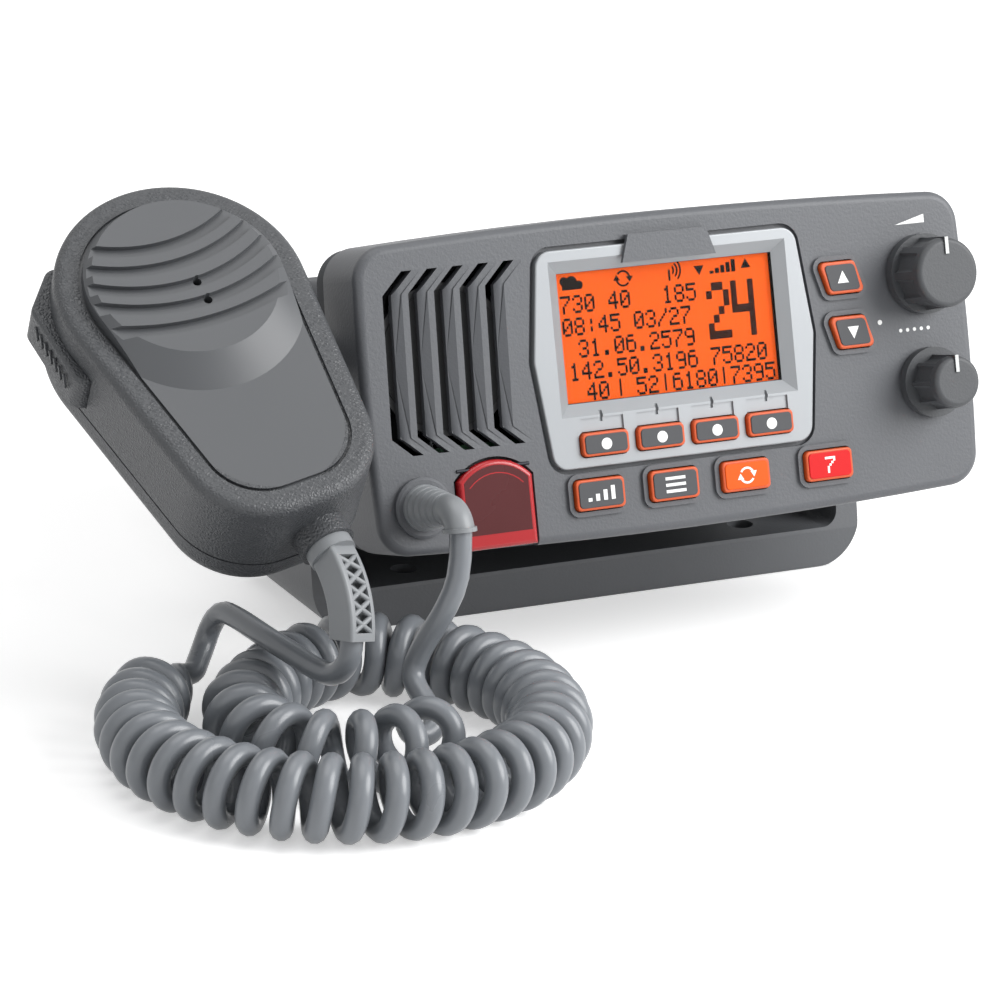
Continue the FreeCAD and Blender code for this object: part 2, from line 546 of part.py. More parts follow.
def make_panel_parts():
    gasket = body("panel_gasket", radio_place)
    add(gasket, "ring", FRONT, "panel_depth", SEAM_BACK, panel_outline("seam_inset"))
    soften(gasket, "Fillet", "corners", "panel_corner", along(1))
    cut(gasket, "middle", FRONT, "panel_depth - 1", f"{SEAM_BACK} + 1",
        rounded("0", "0", "panel_width / 2 - panel_bow - panel_wall",
                "panel_height / 2 - panel_crown - panel_wall", "panel_corner - panel_wall"))
    bezel = body("lcd_bezel", radio_place)
    add(bezel, "plate", FRONT, "-(bezel_rise)", "bezel_sink", bezel_outline("0"))
    cut(bezel, "bevel", FRONT, "-(bezel_rise)", "bezel_sink + 1",
        rectangle("lcd_middle - lcd_width / 2 - bevel", "lcd_middle + lcd_width / 2 + bevel",
                  "lcd_level - lcd_height / 2 - bevel", "lcd_level + lcd_height / 2 + bevel"),
        slope=f"-({BEVEL_SLOPE})")
    trough_top = "(trough_rise - soft_key_level)"
    for index in range(4):
        middle, reach = soft_key_middle(index), "(soft_key_width / 2 - 0.5)"
        cut(bezel, "key_opening", FRONT, "-(bezel_rise) - 1", "bezel_sink + 1",
            soft_key_outline(index, "gap"))
        cut(bezel, "key_trough", FRONT, "-(bezel_rise) - 1", "trough_depth - bezel_rise",
            rectangle(f"{middle} - {reach}", f"{middle} + {reach}", "-(soft_key_level)", trough_top))
        cut(bezel, "key_tick", FRONT, "-(bezel_rise) - 1", "2 * trough_depth - bezel_rise",
            rectangle(f"{middle} - tick_width / 2", f"{middle} + tick_width / 2", f"{trough_top} - 1",
                      f"{trough_top} + 1.6"))
    soften(bezel, "Fillet", "rim", "bezel_rise / 2",
           lambda edge: in_plane(1, "-(bezel_rise)")(edge) and not near_window(edge))
    glass = body("lcd_window", radio_place)
    reach, rise = "lcd_width / 2 + bevel - gap", "lcd_height / 2 + bevel - gap"
    add(glass, "plate", FRONT, "bezel_sink", "bezel_sink + glass",
        rounded("lcd_middle", "lcd_level", reach, rise, "key_corner"))
    module = body("lcd_module", radio_place)
    add(module, "frame", FRONT, "bezel_sink + glass + 0.1", "bezel_sink + glass + 0.1 + lcd_depth",
        rounded("lcd_middle", "lcd_level", "lcd_width / 2 + lcd_border",
                "lcd_height / 2 + lcd_border", "key_corner"))
    cut(module, "pane", FRONT, "bezel_sink", "bezel_sink + glass + 0.6",
        rectangle("lcd_middle - lcd_width / 2", "lcd_middle + lcd_width / 2",
                  "lcd_level - lcd_height / 2", "lcd_level + lcd_height / 2"))
    membrane = body("speaker_membrane", radio_place)
    add(membrane, "sheet", FRONT, "panel_wall", "panel_wall + membrane",
        circle("speaker_middle", "speaker_level", "speaker_radius - 1.5"))
    driver = body("speaker_driver", on_face("speaker_middle", "speaker_level", "panel_wall + membrane"))
    turn(driver, "basket", ("0", "3"), ("speaker_radius / 3", "4"), ("speaker_radius - 2.5", "1"),
         ("speaker_radius - 2.5", "0"), ("speaker_radius", "0"), ("speaker_radius", "1.2"),
         ("magnet_radius", "6"), ("magnet_radius", "speaker_depth - 1"),
         ("magnet_radius - 1", "speaker_depth"), ("0", "speaker_depth"))


def key(name, outline, middle, level, rise="key_rise"):
    """Cap in its opening, a flange behind the panel and a stem to its switch."""
    item = body(name, radio_place)
    add(item, "cap", FRONT, f"-({rise})", "panel_wall + 2 * gap", outline("0"))
    add(item, "flange", FRONT, "panel_wall + gap", "panel_wall + gap + key_flange", outline("key_flange"))
    add(item, "stem", FRONT, "panel_wall + gap", f"{SWITCH_FRONT} - key_travel - 0.1",
        circle(middle, level, "key_stem"))
    soften(item, "Fillet", "rim", "0.4", in_plane(1, f"-({rise})"))
    return item


def make_keys():
    for index, letter in enumerate("abcd"):
        key(f"soft_key_{letter}", lambda outset, index=index: soft_key_outline(index, outset),
            soft_key_middle(index), "-(soft_key_level)", "key_rise")
    for name, middle in LOWER_KEYS.items():
        key(name, lambda outset, middle=middle: lower_key_outline(middle, outset),
            middle, "-(lower_key_level)")
    for name, side in CHANNEL_KEYS.items():
        key(name, lambda outset, side=side: channel_key_outline(side, outset), *channel_key_place(side))


def key_places():
    soft = [(soft_key_middle(index), "-(soft_key_level)") for index in range(4)]
    lower = [(middle, "-(lower_key_level)") for middle in LOWER_MIDDLES]
    channel = [channel_key_place(side) for side in CHANNEL_KEYS.values()]
    return soft + lower + channel + [("cover_middle", "-(distress_level)")]


def make_boards():
    switches = body("key_switches", radio_place)
    half = "(switch_width / 2)"
    squares = [rectangle(f"{across} - {half}", f"{across} + {half}", f"{up} - {half}", f"{up} + {half}")
               for across, up in key_places()]
    add(switches, "cases", FRONT, "board_front - switch_height", "board_front", *squares)
    add(switches, "plungers", FRONT, SWITCH_FRONT, "board_front - switch_height / 2",
        *[circle(across, up, "key_stem + 0.2") for across, up in key_places()])
    board = body("front_board", radio_place)
    inner = "(panel_height / 2 - panel_crown - panel_wall - gap)"
    left, right = "(speaker_middle + speaker_radius + 2.5)", "(panel_width / 2 - panel_bow - panel_wall - gap)"
    low = "(speaker_level - speaker_radius - 3)"
    add(board, "sheet", FRONT, "board_front", BOARD_BACK,
        polygon(("-(gland_middle - gland_thread - 2)", f"-{inner}"), (f"{right} - 7", f"-{inner}"),
                (f"{right} - 7", inner), (left, inner), (left, low),
                ("-(gland_middle - gland_thread - 2)", low)))
    main = body("main_board", radio_place)
    add(main, "sheet", LEVEL, "-(main_level)", "board_thickness - main_level",
        rectangle(f"-({CASE_SIDE} - case_wall - 3)", f"{CASE_SIDE} - case_wall - 3",
                  f"{FLANGE_BACK} + 4", "case_back - 12"))
    shield = body("rf_shield", radio_place)
    foot = "(board_thickness - main_level)"
    add(shield, "can", LEVEL, foot, f"{foot} + shield_height",
        rounded("shield_middle", "shield_depth", "shield_reach", "shield_half_depth", "2"))
    cut(shield, "inside", LEVEL, f"{foot} - 1", f"{foot} + shield_height - shield_skin",
        rounded("shield_middle", "shield_depth", "shield_reach - shield_skin",
                "shield_half_depth - shield_skin", "2 - shield_skin"))
    power = body("power_module", radio_place)
    add(power, "block", LEVEL, foot, f"{foot} + module_height",
        rectangle("module_left", "module_right", "case_back - module_inset - module_length",
                  "case_back - module_inset"))
    add(power, "heat_tab", FRONT, "case_back - module_inset - 1", "case_back",
        rectangle("module_left", "module_right", foot, f"{foot} + module_height"))


def make_rotary_controls():
    for name, level, radius, skirt in (("volume", "volume_level", "volume_radius", "volume_skirt"),
                                       ("squelch", "-(squelch_level)", "squelch_radius", "squelch_skirt")):
        encoder = body(f"{name}_encoder", on_face("dial_middle", level))
        half = "(encoder_width / 2)"
        add(encoder, "case", FRONT, "encoder_front", "board_front", rectangle(f"-{half}", half, f"-{half}", half))
        add(encoder, "bushing", FRONT, "-(bushing_rise)", "encoder_front", circle("0", "0", "bushing_radius"))
        cut(encoder, "bore", FRONT, "-(bushing_rise) - 1", "encoder_front + 2",
            circle("0", "0", "shaft_radius + running"))
        shaft = body(f"{name}_shaft", on_face("dial_middle", level))
        add(shaft, "rod", FRONT, "2 - dial_height", "encoder_front + 2 - 0.1", circle("0", "0", "shaft_radius"))
        knob = body(f"{name}_knob", on_face("dial_middle", level))
        hub = "(-(bushing_rise) - 0.6)"
        turn(knob, "form", ("0", "-(dial_height)"), (radius, "-(dial_height)"),
             (f"{radius} + 0.5", "-(knob_skirt_rise)"), (skirt, "-(knob_skirt_rise)"), (skirt, "-0.5"),
             (f"{skirt} - 1.6", "-0.5"), (f"{skirt} - 1.6", "1 - knob_skirt_rise"),
             ("bushing_radius + gap", "1 - knob_skirt_rise"), ("bushing_radius + gap", hub),
             ("shaft_radius", hub), ("shaft_radius", "2 - dial_height"), ("0", "2 - dial_height"))
        soften(knob, "Fillet", "nose", "dial_round", in_plane(1, "-(dial_height)"))
        distance = f"({radius} - grip_depth + grip_round)"
        ends_of_grip = [(f"{distance} * cos({angle})", f"{distance} * sin({angle})", "grip_round")
                        for angle in GRIP_ANGLES]
        grip = cut(knob, "grip", FRONT, "grip_nose - dial_height", "-(knob_skirt_rise)", hull(*ends_of_grip))
        repeat(knob, "grips", grip, GRIPS)
        for name, start, finish, reach in (
                ("pointer", "-(dial_height + pointer_rise)", "1 - dial_height", "pointer_reach"),
                ("pointer_side", "-(dial_height)", "-(knob_skirt_rise)", "1")):
            add(knob, name, FRONT, start, finish,
                rectangle("-(pointer_width) / 2", "pointer_width / 2", f"{radius} - {reach}",
                          f"{radius} + pointer_rise"))


def make_distress_key():
    cover = body("distress_cover", radio_place)
    add(cover, "plate", FRONT, "-(cover_rise)", "cover_back", cover_outline("0", "-(cover_foot)"))
    soften(cover, "Fillet", "rim", "1", in_plane(1, "-(cover_rise)"))
    half = "(cover_width / 2 - knuckle_inset)"
    add(cover, "knuckle", SIDE, f"cover_middle - {half}", f"cover_middle + {half}",
        circle("0", "-(cover_axis_level)", "knuckle"))
    cut(cover, "pin_bore", SIDE, "cover_middle - cover_width", "cover_middle + cover_width",
        circle("0", "-(cover_axis_level)", "cover_pin_radius + running"))
    room = f"({RING_TURNS} * spring_wire + spring_room)"
    reach = "(cover_pin_radius + 2 * spring_wire + 2 * running)"
    cut(cover, "spring_notch", SIDE, f"cover_middle - {room}", f"cover_middle + {room}",
        rectangle(f"-{reach}", "cover_back + 3", f"-(cover_axis_level + {reach} + spring_room)",
                  f"-(cover_axis_level - {reach} - spring_room)"))
    pin = body("distress_cover_pin", radio_place)
    add(pin, "rod", SIDE, "cover_middle - cover_pin_reach", "cover_middle + cover_pin_reach",
        circle("0", "-(cover_axis_level)", "cover_pin_radius"))
    ring_radius = number("cover_pin_radius + running + spring_wire")
    rings = []
    for index in range(RING_TURNS):
        shift = (index - (RING_TURNS - 1) / 2) * number("2 * spring_wire + running")
        middle = Vector(number("cover_middle") + shift, 0, -number("cover_axis_level"))
        rings.append(Part.makeTorus(ring_radius, number("spring_wire"), middle, Vector(1, 0, 0)))
    solid("distress_cover_spring", Part.makeCompound(rings), radio_place)
    button = body("distress_button", radio_place)
    back = "(well_depth + well_wall)"
    middle = ("cover_middle", "-(distress_level)")
    add(button, "cap", FRONT, "distress_front", f"{back} + gap", circle(*middle, "distress_radius"))
    add(button, "flange", FRONT, f"{back} + gap / 2", f"{back} + 0.5", circle(*middle, "distress_radius + 0.7"))
    add(button, "stem", FRONT, back, f"{SWITCH_FRONT} - distress_travel - 0.1", circle(*middle, "key_stem"))
    soften(button, "Fillet", "rim", "0.4", in_plane(1, "distress_front"))


def make_case():
    case = body("rear_case", radio_place)
    add(case, "flange", FRONT, SEAM_BACK, FLANGE_BACK, panel_outline("seam_inset / 2"))
    soften(case, "Fillet", "corners", "panel_corner", along(1))
    add(case, "tube", FRONT, SEAM_BACK, "case_back",
        rounded("0", "0", CASE_SIDE, "case_height / 2", "case_corner"))
    cut(case, "inside", FRONT, f"{SEAM_BACK} - 1", "case_back + 1",
        rounded("0", "0", f"{CASE_SIDE} - case_wall", "case_height / 2 - case_wall", "case_corner - case_wall"))
    inner = f"({CASE_SIDE} - case_wall / 2)"
    add(case, "left_boss", SIDE, f"-{inner}", f"insert_length - {CASE_SIDE}",
        circle("pivot_depth", "0", "insert_boss"))
    add(case, "right_boss", SIDE, f"{CASE_SIDE} - insert_length", inner,
        circle("pivot_depth", "0", "insert_boss"))
    cut(case, "insert_bores", SIDE, f"-{CASE_SIDE} - 1", f"{CASE_SIDE} + 1",
        circle("pivot_depth", "0", "insert_radius"))
    posts = [circle(f"{a} ({CASE_SIDE} - case_wall - 7)", depth, "post_radius")
             for a in ("-", "") for depth in (f"{FLANGE_BACK} + 8", "case_back - 18")]
    add(case, "board_posts", LEVEL, "case_wall / 2 - case_height / 2", "-(main_level)", *posts)
    cut(case, "screw_holes", FRONT, f"{SEAM_BACK} - 1", f"{FLANGE_BACK} + 1",
        *[circle(across, up, "screw_core + gap") for across, up in PANEL_SCREWS])
    cut(case, "hanger_holes", SIDE, f"-{CASE_SIDE} - 1", f"case_wall - {CASE_SIDE} + 1",
        *[circle(depth, up, "tab_screw") for depth, up in TAB_SCREWS])
    sink = body("heat_sink", radio_place)
    plate_back = "(case_back + fin_plate)"
    add(sink, "plate", FRONT, "case_back", plate_back,
        rounded("0", "0", CASE_SIDE, "case_height / 2", "case_corner"))
    fins = [f"({index - (FINS - 1) / 2}) * fin_pitch" for index in range(FINS)]
    add(sink, "fins", FRONT, f"{plate_back} - 0.5", f"{plate_back} + fin_length",
        *[rectangle(f"{middle} - fin_thickness / 2", f"{middle} + fin_thickness / 2",
                    "socket_flange - socket_level + 1", "case_height / 2 - 1") for middle in fins])
    cut(sink, "socket_holes", FRONT, "case_back - 1", f"{plate_back} + 1",
        circle("antenna_middle", "-(socket_level)", "socket_radius + running"),
        circle("power_middle", "-(socket_level)", "power_radius - 2 + running"))
    socket = body("antenna_socket", on_face("antenna_middle", "-(socket_level)", plate_back))
    inside = "(socket_radius - 1.3)"
    turn(socket, "form", ("0", "-(fin_plate) - 3"), ("2", "-(fin_plate) - 3"), ("2", "-(fin_plate)"),
         ("socket_radius", "-(fin_plate)"), ("socket_radius", "0"), ("socket_flange - 1", "0"),
         ("socket_flange - 1", "1.6"), ("socket_radius", "1.6"), ("socket_radius", "socket_length"),
         (inside, "socket_length"), (inside, "socket_length - 1.5"),
         ("socket_bore", "socket_length - 1.5"), ("socket_bore", "3"), ("0", "3"))
    gland = body("power_gland", on_face("power_middle", "-(socket_level)", plate_back))
    turn(gland, "form", ("power_bore", "-(fin_plate) - 2"), ("power_radius", "-(fin_plate) - 2"),
         ("power_radius", "-(fin_plate)"), ("power_radius - 2", "-(fin_plate)"),
         ("power_radius - 2", "0"), ("power_radius", "0"), ("power_radius", "2"),
         ("power_bore + 1.6", "power_length"), ("power_bore", "power_length"))
    screws = body("panel_screws", radio_place)
    add(screws, "heads", FRONT, FLANGE_BACK, f"{FLANGE_BACK} + 2",
        *[circle(across, up, "2 * screw_core") for across, up in PANEL_SCREWS])
    add(screws, "shanks", FRONT, "panel_depth - 6", f"{FLANGE_BACK} + 1",
        *[circle(across, up, "screw_core") for across, up in PANEL_SCREWS])


def make_lead_entry():
    gland = body("cord_gland", on_face("-(gland_middle)", "-(gland_level)"))
    turn(gland, "form", ("boot_tip", "-(gland_rise)"), ("gland_radius - 0.6", "-(gland_rise)"),
         ("gland_radius", "0.4 - gland_rise"), ("gland_radius", "0"), ("gland_thread", "0"),
         ("gland_thread", "panel_wall"), ("gland_radius - 0.6", "panel_wall"),
         ("gland_radius - 0.6", "panel_wall + 2"), ("boot_tip", "panel_wall + 2"))
    start, finish = "(-(gland_rise))", "(-(gland_rise) - boot_length)"
    profile = [("0", f"{start} + 3"), ("boot_tip", f"{start} + 3"), ("boot_tip", start), ("boot_radius", start)]
    for index in range(BOOT_RIBS):
        depth = f"({start} - ({index + 0.5}) / {BOOT_RIBS} * boot_length)"
        radius = f"(boot_radius - (boot_radius - elbow_radius) * ({index + 0.5}) / {BOOT_RIBS})"
        floor = f"{radius} - rib_depth"
        profile += [(radius, f"{depth} + rib_depth"), (floor, f"{depth} + 0.7 * rib_depth"),
                    (floor, f"{depth} - 0.7 * rib_depth"), (radius, f"{depth} - rib_depth")]
    profile += [("elbow_radius", finish), ("0", finish)]
    boot = body("cord_boot_cone", on_face("-(gland_middle)", "-(gland_level)"))
    nodes.remove(boot)
    turn(boot, "form", *profile)
    front, bend = number(finish), number("elbow_bend")
    corner = Vector(0, front - bend * math.sin(math.pi / 4), bend * (math.cos(math.pi / 4) - 1))
    path = Part.Wire([Part.Arc(Vector(0, front, 0), corner, Vector(0, front - bend, -bend)).toShape()])
    round_profile = Part.Wire([Part.Circle(Vector(0, front, 0), Vector(0, 1, 0), number("elbow_radius")).toShape()])
    document.recompute()
    elbow = path.makePipeShell([round_profile], True, False)
    ring = Part.makeCylinder(number("elbow_radius + elbow_ring"), number("2 * elbow_ring"),
                             Vector(0, front - bend, -bend), Vector(0, 0, 1))
    shape = boot.Tip.Shape.copy()
    shape.Placement = Placement()
    solid("cord_boot", shape.fuse([elbow, ring]).removeSplitter(), boot.Placement)


def make_bracket():
    bracket = body("gimbal_bracket")
    half, top = "(bracket_base / 2)", "(pivot_height + arm_radius)"
    add(bracket, "block", FRONT, f"-{half}", half, rectangle(f"-{ARM_OUTSIDE}", ARM_OUTSIDE, "0", top))
    soften(bracket, "Fillet", "corners", "bracket_corner", along(1, (2, "-1", "1")))
    cut(bracket, "between_arms", FRONT, f"-{half} - 1", f"{half} + 1",
        hull(*[(f"{a} ({ARM_INSIDE} - bracket_inner)", level, "bracket_inner") for a, level in
               (("-", "base_height + bracket_inner"), ("", "base_height + bracket_inner"),
                ("", f"{top} + 2 * bracket_inner"), ("-", f"{top} + 2 * bracket_inner"))]))
    cut(bracket, "taper", SIDE, f"-{ARM_OUTSIDE} - 1", f"{ARM_OUTSIDE} + 1",
        rectangle("-(bracket_base)", "bracket_base", "-(base_height)", f"{top} + arm_radius"),
        hull((f"1 - {half}", "1", "1"), (f"{half} - 1", "1", "1"), (f"{half} - 1", "base_height - 1", "1"),
             ("0", "pivot_height", "arm_radius"), (f"1 - {half}", "base_height - 1", "1")))
    outer, inner = "(bracket_width / 2 - bracket_corner)", "(screw_spread / 2)"
    cells = [rectangle(left, right, f"3 - {half}", f"{half} - 3") for left, right in
             ((f"-{outer}", f"-{inner} - rib / 2"), (f"rib / 2 - {inner}", "-(rib) / 2"),
              ("rib / 2", f"{inner} - rib / 2"), (f"{inner} + rib / 2", outer))]
    holes = [(f"{a} screw_spread", f"{b} screw_inset") for a in ("-", "1 *") for b in ("-", "1 *")]
    bosses = [circle(across, depth, "boss_radius") for across, depth in holes]
    cut(bracket, "cells", LEVEL, "-1", "base_height - base_skin", *(cells + bosses))
    cut(bracket, "screw_holes", LEVEL, "-1", "base_height + 1",
        *[circle(across, depth, "screw_hole") for across, depth in holes])
    cut(bracket, "pivot_holes", SIDE, f"-{ARM_OUTSIDE} - 1", f"{ARM_OUTSIDE} + 1",
        circle("0", "pivot_height", "pivot_hole"))
    inserts = body("gimbal_inserts", radio_place)
    for name, start, finish in (("left", f"-{CASE_SIDE}", f"insert_length - {CASE_SIDE}"),
                                ("right", f"{CASE_SIDE} - insert_length", CASE_SIDE)):
        add(inserts, name, SIDE, start, finish, circle("pivot_depth", "0", "insert_radius"),
            circle("pivot_depth", "0", "stud_radius + running"))
    washers = body("tilt_washers", radio_place)
    for name, start, finish in (("left", f"gap - {ARM_INSIDE}", f"-{CASE_SIDE}"),
                                ("right", CASE_SIDE, f"{ARM_INSIDE} - gap")):
        add(washers, name, SIDE, start, finish, circle("pivot_depth", "0", "washer_radius"),
            circle("pivot_depth", "0", "stud_radius + gap"))
    inner_face, outer_face = f"({ARM_OUTSIDE} + gap)", f"({ARM_OUTSIDE} + gap + knob_width)"
    for name, side in (("left", -1), ("right", 1)):
        limits = sorted((f"{side} * {inner_face}", f"{side} * {outer_face}"), key=number)
        knob = body(f"gimbal_knob_{name}")
        add(knob, "disc", SIDE, *limits, circle("0", "pivot_height", "knob_radius"))
        soften(knob, "Fillet", "rim", "1", in_plane(0, f"{side} * {outer_face}"))
        lobes = [(f"knob_lobe_reach * cos({45 * index})", f"pivot_height + knob_lobe_reach * sin({45 * index})")
                 for index in range(8)]
        cut(knob, "lobes", SIDE, f"{limits[0]} - 1", f"{limits[1]} + 1",
            *[circle(depth, up, "knob_lobe") for depth, up in lobes])
        socket = sorted((f"{side} * ({inner_face} - 1)", f"{side} * ({outer_face} - 3)"), key=number)
        cut(knob, "socket", SIDE, *socket, circle("0", "pivot_height", "stud_radius"))
        stud = body(f"gimbal_stud_{name}")
        reach = sorted((f"{side} * stud_reach", f"{side} * ({outer_face} - 3)"), key=number)
        add(stud, "rod", SIDE, *reach, circle("0", "pivot_height", "stud_radius"))


def mic_outline(inset):
    return hull(("0", "0", f"mic_head - ({inset})"),
                ("-(mic_foot_reach)", "-(mic_foot_drop)", f"mic_foot_radius - ({inset})"),
                ("mic_foot_reach", "-(mic_foot_drop)", f"mic_foot_radius - ({inset})"))


def ptt_outline(outset):
    """Bowed bar on the microphone's left side, seen from the front."""
    reach, radius = "-(ptt_reach - 3)", f"3 + ({outset})"
    return hull(("-22", "ptt_top - 3.6", radius), (reach, "ptt_top - 10.4", radius),
                (f"{reach} + 0.6", "3 - ptt_foot", radius), ("-23", "3 - ptt_foot", radius))


def make_microphone():
    front = body("microphone_front_shell", microphone_place)
    add(front, "block", FRONT, "0", "mic_front_depth", mic_outline("0"))
    soften(front, "Fillet", "rim", "mic_edge", in_plane(1, "0"))
    cut(front, "inside", FRONT, "mic_wall", "mic_front_depth + 1", mic_outline("mic_wall"))
    loft(front, "hump", "mic_wall / 4", circle("0", "-(hump_foot_drop)", "hump_foot_radius"),
         "-(hump_rise)", circle("0", "0", "hump_radius"))
    ahead = "(-(hump_rise) - 1)"
    cut(front, "hump_side", FRONT, ahead, "0", mic_outline("-1"), mic_outline("mic_line"))
    cut(front, "line", FRONT, ahead, "mic_line_width", mic_outline("mic_line"),
        mic_outline("mic_line + mic_line_width"))
    for across, up, radius in LOUVERS:
        cut(front, "louver", FRONT, ahead, "louver_depth - hump_rise", circle(across, up, radius),
            circle(across, up, f"{radius} + louver_width"))
    posts = [circle(across, up, "post_radius - 0.6") for across, up in MIC_POSTS]
    add(front, "board_posts", FRONT, "mic_wall - gap", "board_level", *posts)
    bosses = [circle(across, up, "post_radius + 0.4") for across, up in MIC_SCREWS]
    add(front, "screw_bosses", FRONT, "mic_wall - gap", "mic_front_depth", *bosses)
    cut(front, "holes", FRONT, ahead, "mic_wall + 1",
        *[circle("capsule_middle", f"-(capsule_level) {a} hole_spread", "mic_hole") for a in ("-", "+")])
    cut(front, "ptt_opening", SIDE, "-(mic_head) - 5", "-(mic_head) * 0.55",
        rectangle("ptt_front - gap", "ptt_back + gap", "-(ptt_foot) - gap", "ptt_top + gap"))
    cut(front, "screw_bores", FRONT, "mic_wall + 1", "mic_front_depth + 1",
        *[circle(across, up, "screw_core - 0.3") for across, up in MIC_SCREWS])
    foot = "(mic_foot_drop + mic_foot_radius)"
    add(front, "collar", LEVEL, f"-{foot} - collar_sleeve", f"mic_wall - {foot}",
        circle("collar_middle", "collar_depth", "collar_radius + collar_skin"))
    cut(front, "collar_hole", LEVEL, f"-{foot} - collar_sleeve - 1", f"mic_wall + 1 - {foot}",
        circle("collar_middle", "collar_depth", "spigot + running"))
    back = body("microphone_back_shell", microphone_place)
    add(back, "block", FRONT, "mic_front_depth", MIC_BACK, mic_outline("0"))
    soften(back, "Fillet", "rim", "mic_back_edge", in_plane(1, MIC_BACK))
    cut(back, "seam", FRONT, "mic_front_depth", "mic_front_depth + mic_seam", mic_outline("-1"),
        mic_outline("mic_seam"))
    cut(back, "inside", FRONT, "mic_front_depth - 1", f"{MIC_BACK} - mic_wall", mic_outline("mic_wall"))
    cut(back, "screw_holes", FRONT, "mic_front_depth", f"{MIC_BACK} + 1",
        *[circle(across, up, "screw_core") for across, up in MIC_SCREWS])
    cut(back, "stud_hole", FRONT, "mic_front_depth", f"{MIC_BACK} + 1",
        circle("0", "-(hang_level)", "hang_shaft + running"))
    screws = body("microphone_screws", microphone_place)
    add(screws, "heads", FRONT, MIC_BACK, f"{MIC_BACK} + 1.6",
        *[circle(across, up, "1.8 * screw_core") for across, up in MIC_SCREWS])
    add(screws, "shanks", FRONT, "mic_front_depth - 5", f"{MIC_BACK} + 1",
        *[circle(across, up, "screw_core - 0.3") for across, up in MIC_SCREWS])
    capsule = body("microphone_capsule", microphone_place)
    add(capsule, "can", FRONT, "mic_wall", "mic_wall + capsule_depth",
        circle("capsule_middle", "-(capsule_level)", "capsule_radius"))
    board = body("microphone_board", microphone_place)
    add(board, "sheet", FRONT, "board_level", "board_level + board_thickness",
        hull(("4", "0", "18.5"), ("-2", "-38", "9"), ("6", "-38", "9")))
    switch = body("ptt_switch", microphone_place)
    plunger = "(ptt_stem_reach - ptt_travel - 0.1)"
    add(switch, "case", FRONT, "board_level - 5", "board_level",
        rectangle(f"0.5 - {plunger}", f"6.5 - {plunger}", "switch_level - switch_half",
                  "switch_level + switch_half"))
    add(switch, "plunger", SIDE, f"-{plunger}", f"1 - {plunger}",
        circle("board_level - 2.5", "switch_level", "1.4"))
    ptt = body("ptt_button", microphone_place)
    add(ptt, "bar", FRONT, "ptt_front", "ptt_back", ptt_outline("0"))
    soften(ptt, "Fillet", "edges", "1", in_plane(1, "ptt_front"))
    add(ptt, "stem", SIDE, "-(ptt_stem_reach) - 3.4", "-(ptt_stem_reach)",
        circle("board_level - 2.5", "switch_level", "1.6"))
    stud = body("hang_up_stud", microphone_place * Placement(
        Vector(0, number(MIC_BACK), -number("hang_level")), Rotation()))
    sheet_back = "(hanger_gap + hanger_sheet)"
    turn(stud, "form", ("0", "-(mic_wall)"), ("hang_shaft", "-(mic_wall)"), ("hang_shaft", "0"),
         ("hang_head - 0.4", "0"), ("hang_head - 0.4", "hanger_gap - gap"), ("hang_shaft", "hanger_gap - gap"),
         ("hang_shaft", f"{sheet_back} + gap"), ("hang_head", f"{sheet_back} + gap"),
         ("hang_head", f"{sheet_back} + 1.6"), ("0", f"{sheet_back} + 2"))


def make_hanger():
    """Bent sheet on the case's side: an open hook for the stud and a screwed tab."""
    plate = body("hanger_plate", microphone_place)
    start, finish = f"({MIC_BACK} + hanger_gap)", f"({MIC_BACK} + hanger_gap + hanger_sheet)"
    middle = "(arm_offset - hang_level)"
    add(plate, "hook", FRONT, start, finish, circle("0", "-(hang_level)", "hook_radius"))
    add(plate, "arm", FRONT, start, finish,
        rectangle("hang_shaft + 1", "54", f"{middle} - arm_half", f"{middle} + arm_half"))
    cut(plate, "slot", FRONT, f"{start} - 1", f"{finish} + 1",
        hull(("0", "-(hang_level)", "hang_shaft + gap"), ("0", "0", "hang_shaft + gap")))
    tab = body("hanger_tab", radio_place)
    outside = f"({CASE_SIDE} + hanger_sheet)"
    add(tab, "sheet", SIDE, f"-{outside}", f"-{CASE_SIDE}",
        rounded("(tab_front + tab_back) / 2", "(tab_foot + tab_top) / 2", "(tab_back - tab_front) / 2",
                "(tab_top - tab_foot) / 2", "2"))
    cut(tab, "holes", SIDE, f"-{outside} - 1", f"1 - {CASE_SIDE}",
        *[circle(depth, up, "tab_screw") for depth, up in TAB_SCREWS])
    keep = document.addObject("Part::Box", "case_side")
    for side, size in (("Length", "case_width"), ("Width", "case_width"), ("Height", "case_width")):
        keep.setExpression(side, formula(size))
    keep.Placement = radio_place * Placement(Vector(-number(f"{CASE_SIDE} + hanger_sheet / 2"),
                                                    -number("case_width / 2"), -number("case_width / 2")),
                                             Rotation())
    trimmed = document.addObject("Part::Cut", "hanger_trimmed")
    trimmed.Base, trimmed.Tool = plate, keep
    hanger = document.addObject("Part::Fuse", "microphone_hanger")
    hanger.Base, hanger.Tool = trimmed, tab
    hanger.Label = "microphone_hanger"
    for item in (plate, tab):
        nodes.remove(item)
    nodes.append(hanger)
    screws = body("hanger_screws", radio_place)
    add(screws, "heads", SIDE, f"-{outside} - 1.2", f"-{outside}",
        *[circle(depth, up, "2 * tab_screw") for depth, up in TAB_SCREWS])
    add(screws, "shanks", SIDE, f"-{outside} - 0.5", f"5 - {CASE_SIDE}",
        *[circle(depth, up, "tab_screw") for depth, up in TAB_SCREWS])


# ---- leads: straight runs joined by tangent arcs ----

